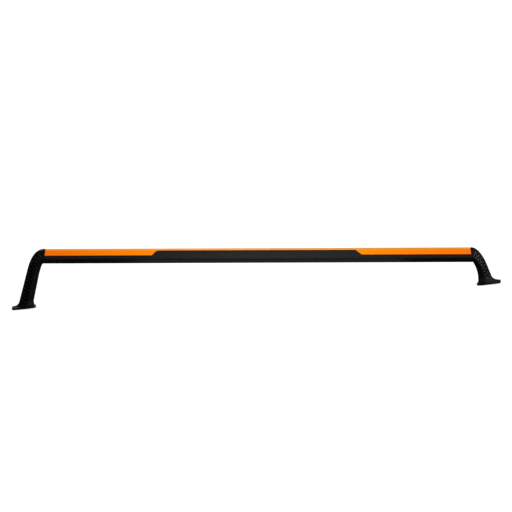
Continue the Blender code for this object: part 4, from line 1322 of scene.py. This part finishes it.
def threaded_insert():
    """A sleeve with grooves round it and thread rings down its bore."""
    outside = [(INSERT_R - 0.3 * MM, INSERT_HEIGHT), (INSERT_R, INSERT_HEIGHT - 0.3 * MM)]
    for height, deep in INSERT_GROOVES:
        outside.append((INSERT_R - deep, height))
    outside += [(INSERT_R, 0.4 * MM), (INSERT_R - 0.3 * MM, 0.0)]
    bore = [(INSERT_BORE_R + 0.9 * MM, 0.0), (INSERT_BORE_R + 0.5 * MM, 0.5 * MM)]
    height = 1.1 * MM
    while height < INSERT_HEIGHT - 1.2 * MM:
        bore += [(INSERT_BORE_R, height), (INSERT_BORE_R + 0.55 * MM, height + 0.62 * MM)]
        height += 1.25 * MM
    bore += [(INSERT_BORE_R + 0.5 * MM, INSERT_HEIGHT)]
    profile = outside + bore
    segments = 40
    shape = bmesh.new()
    rows = []
    for radius, height in profile:
        rows.append([shape.verts.new((radius * math.cos(math.tau * i / segments),
                                      radius * math.sin(math.tau * i / segments), height))
                     for i in range(segments)])
    for j, row in enumerate(rows):
        following = rows[(j + 1) % len(rows)]
        for i in range(segments):
            k = (i + 1) % segments
            shape.faces.new((row[i], row[k], following[k], following[i]))
    return from_bmesh(shape, "insert")


def build_inserts():
    insert = threaded_insert()
    insert.transform(Matrix.Rotation(-SOLE_TILT, 4, "Y"))
    axis = (-math.sin(SOLE_TILT), 0.0, math.cos(SOLE_TILT))
    for seed, leg in enumerate(LEGS, 21):
        points = [leg.on_sole(leg.side * INSERT_X, y).translation for y in INSERT_Y]
        mesh = fixings(points, insert.copy(), axis, "brass", seed)
        new_piece(f"{leg.name}_inserts", mesh, "brass",
                  (f"{leg.name}_insert_front", f"{leg.name}_insert_rear"))


def paint_clips():
    """The push-in clips keep their CAD meshes, behind the cover."""
    for i in range(1, len(CLIP_U) + 1):
        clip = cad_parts[f"cover_clip_{i}"]
        clip.data.materials.clear()
        clip.data.materials.append(finish_named("cover_plastic"))


# ---------------------------------------------------------------- stage

LIGHT_WAY = (0.62, -0.52, 0.58)
SOFT_LOW, SOFT_GAIN = 0.06, 2.1
MIRRORED_LOW, MIRRORED_GAIN = 0.02, 0.60
FLOOR_SIZE = 40.0
FLOOR_GREYS = ((0.33, 0.33, 0.33, 1.0), (0.35, 0.35, 0.35, 1.0))
FLOOR_GLOW = 0.81
CAMERA_DISTANCE = 9.0
# Each light's name, place, aim and size
LIGHTS = (
    ("key", (1.6, -1.1, 0.95), (0.5, 0.0, 0.10), (1.0, 0.7)),
    ("card", (0.06, -0.60, 0.20), (0.06, 0.0, 0.13), (0.50, 0.18)),
    ("bounce", (0.04, -0.10, 0.004), (0.04, -0.10, 1.0), (0.85, 0.24)),
    ("back", (-0.3, 1.5, 0.95), (0.0, 0.0, 0.10), (1.4, 0.8)),
    ("foot", (1.25, -0.55, 0.42), (0.74, 0.0, 0.05), (0.35, 0.3)),
)


def build_floor():
    """A pale floor that glows a little, so that it stays even; it isn't mirrored in the bar."""
    shape = bmesh.new()
    bmesh.ops.create_grid(shape, x_segments=4, y_segments=4, size=FLOOR_SIZE / 2)
    floor = holder_of(from_bmesh(shape, "studio_floor"), "studio_floor")
    surface = Finish("studio_floor", Roughness=0.9)
    surface.shader.inputs["Specular IOR Level"].default_value = 0.05
    surface.set("Base Color", surface.blend_color(surface.noise(0.6, 2.0), *FLOOR_GREYS))
    surface.shader.inputs["Emission Color"].default_value = (1.0, 1.0, 1.0, 1.0)
    surface.shader.inputs["Emission Strength"].default_value = FLOOR_GLOW
    floor.data.materials.append(surface.material)
    floor.visible_glossy = False
    floor.visible_diffuse = False
    floor.visible_shadow = False
    floor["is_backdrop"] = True


def build_light(name, spot, target, size, power):
    data = bpy.data.lights.new(name, "AREA")
    data.shape = "RECTANGLE"
    data.size, data.size_y = size
    data.energy = power
    light = bpy.data.objects.new(name, data)
    light.location = spot
    light.rotation_euler = (Vector(target) - Vector(spot)).to_track_quat("-Z", "Y").to_euler()
    light.visible_camera = False
    bpy.context.scene.collection.objects.link(light)


def build_world(studio):
    """A white surround, brightest to the upper right front; reflections see it much darker elsewhere."""
    world = bpy.data.worlds.new("studio")
    world.use_nodes = True
    graph = Graph(world.node_tree)
    back = world.node_tree.nodes["Background"]
    way = graph.node("ShaderNodeTexCoord", output=0)
    toward = graph.node("ShaderNodeVectorMath", {"operation": "DOT_PRODUCT"},
                        {0: way, 1: Vector(LIGHT_WAY).normalized()}, output="Value")
    toward = toward.math("MAXIMUM", toward, 0.0)
    rays = graph.tree.nodes.new("ShaderNodeLightPath")
    camera = Link(graph, rays.outputs["Is Camera Ray"])
    glossy = Link(graph, rays.outputs["Is Glossy Ray"])
    soft = SOFT_LOW + toward ** 2.0 * SOFT_GAIN
    mirrored = MIRRORED_LOW + toward ** 3.0 * MIRRORED_GAIN
    lit = soft + glossy * (mirrored - soft)
    strength = lit * (1 - camera) * studio.surround + camera
    graph.feed(back.inputs["Strength"], strength)
    back.inputs["Color"].default_value = (1.0, 1.0, 1.0, 1.0)
    bpy.context.scene.world = world


def build_camera(studio):
    """A distant camera with parallel rays, its picture turned so that the beam lies level."""
    toward_camera = Vector((0.0, -math.cos(studio.elevation), math.sin(studio.elevation)))
    data = bpy.data.cameras.new("camera")
    data.type = "ORTHO"
    data.ortho_scale = studio.picture_width
    data.clip_start, data.clip_end = 0.1, 100.0
    camera = bpy.data.objects.new("camera", data)
    bpy.context.scene.collection.objects.link(camera)
    turn = (-toward_camera).to_track_quat("-Z", "Y").to_matrix() @ Matrix.Rotation(-studio.roll, 3, "Z")
    right, up, back = turn.col[0], turn.col[1], turn.col[2]
    target = right * studio.aim_right + up * studio.aim_up
    camera.matrix_world = Matrix.Translation(target + back * CAMERA_DISTANCE) @ turn.to_4x4()
    bpy.context.scene.camera = camera
    bpy.context.scene.view_settings.view_transform = "Standard"


# ---------------------------------------------------------------- add-on

class BarSizes(bpy.types.PropertyGroup):
    """Sizes that change the look without moving a piece."""
    groove_depth: bpy.props.FloatProperty(
        name="Groove depth", description="Depth of the shadow groove under the beam's fold",
        default=1.2 * MM, min=0.0, max=2.0 * MM, precision=4, subtype="DISTANCE", unit="LENGTH")
    rail_rounding: bpy.props.FloatProperty(
        name="Rail rounding", description="Reach of the rounding along the rail's top front edge",
        default=2.0 * MM, min=0.2 * MM, max=4.0 * MM, precision=4, subtype="DISTANCE", unit="LENGTH")
    cover_crown: bpy.props.FloatProperty(
        name="Cover crown", description="Radius of the centre cover's outer edges",
        default=0.9 * MM, min=0.1 * MM, max=2.0 * MM, precision=4, subtype="DISTANCE", unit="LENGTH")
    cover_corner: bpy.props.FloatProperty(
        name="Cover corner", description="Reach of the centre cover's rounded corners",
        default=2.5 * MM, min=0.5 * MM, max=6.0 * MM, precision=4, subtype="DISTANCE", unit="LENGTH")
    seal_inset: bpy.props.FloatProperty(
        name="Seal inset", description="How far the joint seals lie inside the beam's outline",
        default=0.6 * MM, min=0.0, max=2.0 * MM, precision=4, subtype="DISTANCE", unit="LENGTH")
    rib_width: bpy.props.FloatProperty(
        name="Rib width", description="Width of the lattice ribs",
        default=1.6 * MM, min=1.0 * MM, max=4.0 * MM, precision=4, subtype="DISTANCE", unit="LENGTH")
    rib_depth: bpy.props.FloatProperty(
        name="Rib depth", description="Thickness of the lattice ribs, out of the facet",
        default=1.5 * MM, min=0.8 * MM, max=2.6 * MM, precision=4, subtype="DISTANCE", unit="LENGTH")
    rib_edge: bpy.props.FloatProperty(
        name="Edge rail width", description="Width of the rails along the lattice's sides",
        default=1.2 * MM, min=0.8 * MM, max=4.0 * MM, precision=4, subtype="DISTANCE", unit="LENGTH")
    rib_rounding: bpy.props.FloatProperty(
        name="Rib rounding", description="Radius of the ribs' edges",
        default=0.5 * MM, min=0.1 * MM, max=0.8 * MM, precision=4, subtype="DISTANCE", unit="LENGTH")
    back_cover_corner: bpy.props.FloatProperty(
        name="Rear cover corner", description="Reach of the rear covers' rounded corners",
        default=3.0 * MM, min=0.5 * MM, max=6.0 * MM, precision=4, subtype="DISTANCE", unit="LENGTH")
    gasket_rounding: bpy.props.FloatProperty(
        name="Gasket rounding", description="Radius of the foot gaskets' edges",
        default=0.35 * MM, min=0.1 * MM, max=1.0 * MM, precision=4, subtype="DISTANCE", unit="LENGTH")


class BarColors(bpy.types.PropertyGroup):
    """Base colours of the finishes, and the colours of the light painted on the rail and on the short leg's
    toe.
    """
    orange: bpy.props.FloatVectorProperty(
        name="Accent", description="Colour of the accent rail towards its ends", size=3, subtype="COLOR",
        default=(0.95, 0.163, 0.0002), min=0.0, max=1.0)
    # Painted light: the rail's colour near its middle, a pool of light painted on the coat
    orange_painted_middle_light: bpy.props.FloatVectorProperty(
        name="Accent middle", description="Colour of the accent rail near its middle", size=3,
        subtype="COLOR",
        default=(0.955, 0.258, 0.0002), min=0.0, max=1.0)
    # Painted highlight: the colour of the rail's flat top, lighter and golden where light falls on it
    orange_painted_top_highlight: bpy.props.FloatVectorProperty(
        name="Accent top", description="Colour of the accent rail's flat top", size=3, subtype="COLOR",
        default=(0.90, 0.35, 0.035), min=0.0, max=1.0)
    beam: bpy.props.FloatVectorProperty(
        name="Beam", description="Colour of the anodised beam", size=3, subtype="COLOR",
        default=(0.0030, 0.0026, 0.0028), min=0.0, max=1.0)
    cover: bpy.props.FloatVectorProperty(
        name="Covers", description="Colour of the moulded covers", size=3, subtype="COLOR",
        default=(0.0078, 0.0077, 0.0082), min=0.0, max=1.0)
    leg: bpy.props.FloatVectorProperty(
        name="Legs", description="Colour of the powder-coated legs", size=3, subtype="COLOR",
        default=(0.0012, 0.0013, 0.0013), min=0.0, max=1.0)
    # Painted highlight: colour of the light painted on the short leg's outer toe
    painted_toe_light_color: bpy.props.FloatVectorProperty(
        name="Foot dust", description="Colour of the fine dust that greys the feet", size=3, subtype="COLOR",
        default=(0.012, 0.0165, 0.0155), min=0.0, max=1.0)
    lattice: bpy.props.FloatVectorProperty(
        name="Lattice", description="Colour of the lattice ribs", size=3, subtype="COLOR",
        default=(0.006, 0.0063, 0.0063), min=0.0, max=1.0)
    rubber: bpy.props.FloatVectorProperty(
        name="Rubber", description="Colour of the seals and gaskets", size=3, subtype="COLOR",
        default=(0.005, 0.005, 0.005), min=0.0, max=1.0)
    steel: bpy.props.FloatVectorProperty(
        name="Screws", description="Colour of the plated screws", size=3, subtype="COLOR",
        default=(0.045, 0.045, 0.05), min=0.0, max=1.0)
    brass: bpy.props.FloatVectorProperty(
        name="Inserts", description="Colour of the threaded inserts", size=3, subtype="COLOR",
        default=(0.60, 0.42, 0.16), min=0.0, max=1.0)


class StudioSettings(bpy.types.PropertyGroup):
    """The camera and the light round the bar."""
    elevation: bpy.props.FloatProperty(
        name="Elevation", description="Camera angle above the horizon",
        default=math.radians(8.0), subtype="ANGLE", unit="ROTATION")
    roll: bpy.props.FloatProperty(
        name="Roll", description="Turn of the picture that lays the raked beam level",
        default=math.radians(3.03), subtype="ANGLE", unit="ROTATION")
    picture_width: bpy.props.FloatProperty(
        name="Picture width", description="Width of what the camera sees",
        default=1.6333, subtype="DISTANCE", unit="LENGTH")
    aim_right: bpy.props.FloatProperty(
        name="Aim right", description="How far right of the origin the camera aims",
        default=-0.0016, precision=4, subtype="DISTANCE", unit="LENGTH")
    aim_up: bpy.props.FloatProperty(
        name="Aim up", description="How far above the origin the camera aims",
        default=0.1295, precision=4, subtype="DISTANCE", unit="LENGTH")
    surround: bpy.props.FloatProperty(
        name="Surround", description="Strength of the even light from all round", default=1.02, min=0.0)
    key_power: bpy.props.FloatProperty(
        name="Key light", description="Power of the soft light at the upper right front",
        default=2.2, min=0.0, subtype="POWER", unit="POWER")
    card_power: bpy.props.FloatProperty(
        name="Front card", description="Power of the soft glow in front of the bar's middle",
        default=1.45, min=0.0, subtype="POWER", unit="POWER")
    bounce_power: bpy.props.FloatProperty(
        name="Floor bounce", description="Power of the glow on the floor below the bar's middle",
        default=0.36, min=0.0, subtype="POWER", unit="POWER")
    back_power: bpy.props.FloatProperty(
        name="Back light", description="Power of the soft light behind the bar",
        default=6.5, min=0.0, subtype="POWER", unit="POWER")
    foot_power: bpy.props.FloatProperty(
        name="Foot light", description="Power of the soft light beside the right foot",
        default=1.0, min=0.0, subtype="POWER", unit="POWER")


class CARGOBAR_OT_beam(bpy.types.Operator):
    """Makes the hollow black beam"""
    bl_idname = "cargo_bar.beam"
    bl_label = "Beam"

    def execute(self, context):
        build_beam(context.scene.bar_sizes)
        return {"FINISHED"}


class CARGOBAR_OT_rail(bpy.types.Operator):
    """Makes the orange rail that caps the beam"""
    bl_idname = "cargo_bar.rail"
    bl_label = "Accent Rail"

    def execute(self, context):
        build_rail(context.scene.bar_sizes)
        return {"FINISHED"}


class CARGOBAR_OT_center_cover(bpy.types.Operator):
    """Makes the moulded cover in the middle and finishes the clips behind it"""
    bl_idname = "cargo_bar.center_cover"
    bl_label = "Centre Cover and Clips"

    def execute(self, context):
        build_center_cover(context.scene.bar_sizes)
        paint_clips()
        return {"FINISHED"}


class CARGOBAR_OT_seals(bpy.types.Operator):
    """Makes the thin rubber seals between beam and legs"""
    bl_idname = "cargo_bar.seals"
    bl_label = "Joint Seals"

    def execute(self, context):
        build_seals(context.scene.bar_sizes)
        return {"FINISHED"}


class CARGOBAR_OT_legs(bpy.types.Operator):
    """Makes the two cast legs"""
    bl_idname = "cargo_bar.legs"
    bl_label = "Legs"

    def execute(self, context):
        for leg in LEGS:
            build_leg(leg)
        return {"FINISHED"}


class CARGOBAR_OT_lattices(bpy.types.Operator):
    """Lays the lattice ribs in the legs' front recesses"""
    bl_idname = "cargo_bar.lattices"
    bl_label = "Lattice Panels"

    def execute(self, context):
        for leg in LEGS:
            build_lattice(leg, context.scene.bar_sizes)
        return {"FINISHED"}


class CARGOBAR_OT_back_covers(bpy.types.Operator):
    """Makes the thin plates that close the backs of the legs"""
    bl_idname = "cargo_bar.back_covers"
    bl_label = "Rear Covers"

    def execute(self, context):
        for leg in LEGS:
            build_back_cover(leg, context.scene.bar_sizes)
        return {"FINISHED"}


class CARGOBAR_OT_gaskets(bpy.types.Operator):
    """Makes the rubber gaskets under the feet"""
    bl_idname = "cargo_bar.gaskets"
    bl_label = "Foot Gaskets"

    def execute(self, context):
        for leg in LEGS:
            build_gasket(leg, context.scene.bar_sizes)
        return {"FINISHED"}


class CARGOBAR_OT_fixings(bpy.types.Operator):
    """Makes the screws and the threaded inserts"""
    bl_idname = "cargo_bar.fixings"
    bl_label = "Screws and Inserts"

    def execute(self, context):
        build_joint_screws()
        build_cover_screws()
        build_inserts()
        return {"FINISHED"}


class CARGOBAR_OT_stage(bpy.types.Operator):
    """Makes the floor, the light and the camera"""
    bl_idname = "cargo_bar.stage"
    bl_label = "Stage"

    def execute(self, context):
        studio = context.scene.bar_studio
        build_floor()
        build_world(studio)
        for name, spot, target, size in LIGHTS:
            build_light(name, spot, target, size, getattr(studio, f"{name}_power"))
        build_camera(studio)
        return {"FINISHED"}


OPERATORS = (CARGOBAR_OT_stage, CARGOBAR_OT_beam, CARGOBAR_OT_rail, CARGOBAR_OT_center_cover,
             CARGOBAR_OT_seals, CARGOBAR_OT_legs, CARGOBAR_OT_lattices, CARGOBAR_OT_back_covers,
             CARGOBAR_OT_gaskets, CARGOBAR_OT_fixings)
GROUPS = (BarSizes, BarColors, StudioSettings)


class CARGOBAR_PT_panel(bpy.types.Panel):
    """Lists the bar's settings and the pieces that can be made"""
    bl_idname = "CARGOBAR_PT_panel"
    bl_label = "Cargo Bar"
    bl_space_type = "VIEW_3D"
    bl_region_type = "UI"
    bl_category = "Cargo Bar"

    def draw(self, context):
        layout = self.layout
        for group in (context.scene.bar_sizes, context.scene.bar_colors, context.scene.bar_studio):
            box = layout.box()
            for name in group.__annotations__:
                box.prop(group, name)
        for operator in OPERATORS:
            layout.operator(operator.bl_idname)


def register():
    for kind in GROUPS + OPERATORS + (CARGOBAR_PT_panel,):
        bpy.utils.register_class(kind)
    bpy.types.Scene.bar_sizes = bpy.props.PointerProperty(type=BarSizes)
    bpy.types.Scene.bar_colors = bpy.props.PointerProperty(type=BarColors)
    bpy.types.Scene.bar_studio = bpy.props.PointerProperty(type=StudioSettings)


def unregister():
    del bpy.types.Scene.bar_studio
    del bpy.types.Scene.bar_colors
    del bpy.types.Scene.bar_sizes
    for kind in reversed(GROUPS + OPERATORS + (CARGOBAR_PT_panel,)):
        bpy.utils.unregister_class(kind)


def main():
    register()
    for operator in OPERATORS:
        name = operator.bl_idname.split(".")[1]
        getattr(bpy.ops.cargo_bar, name)()
    low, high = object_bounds()
    {"cad": [list(CAD_LOW), list(CAD_HIGH)], "visual": [list(low), list(high)]}


if __name__ == "__main__":
    main()
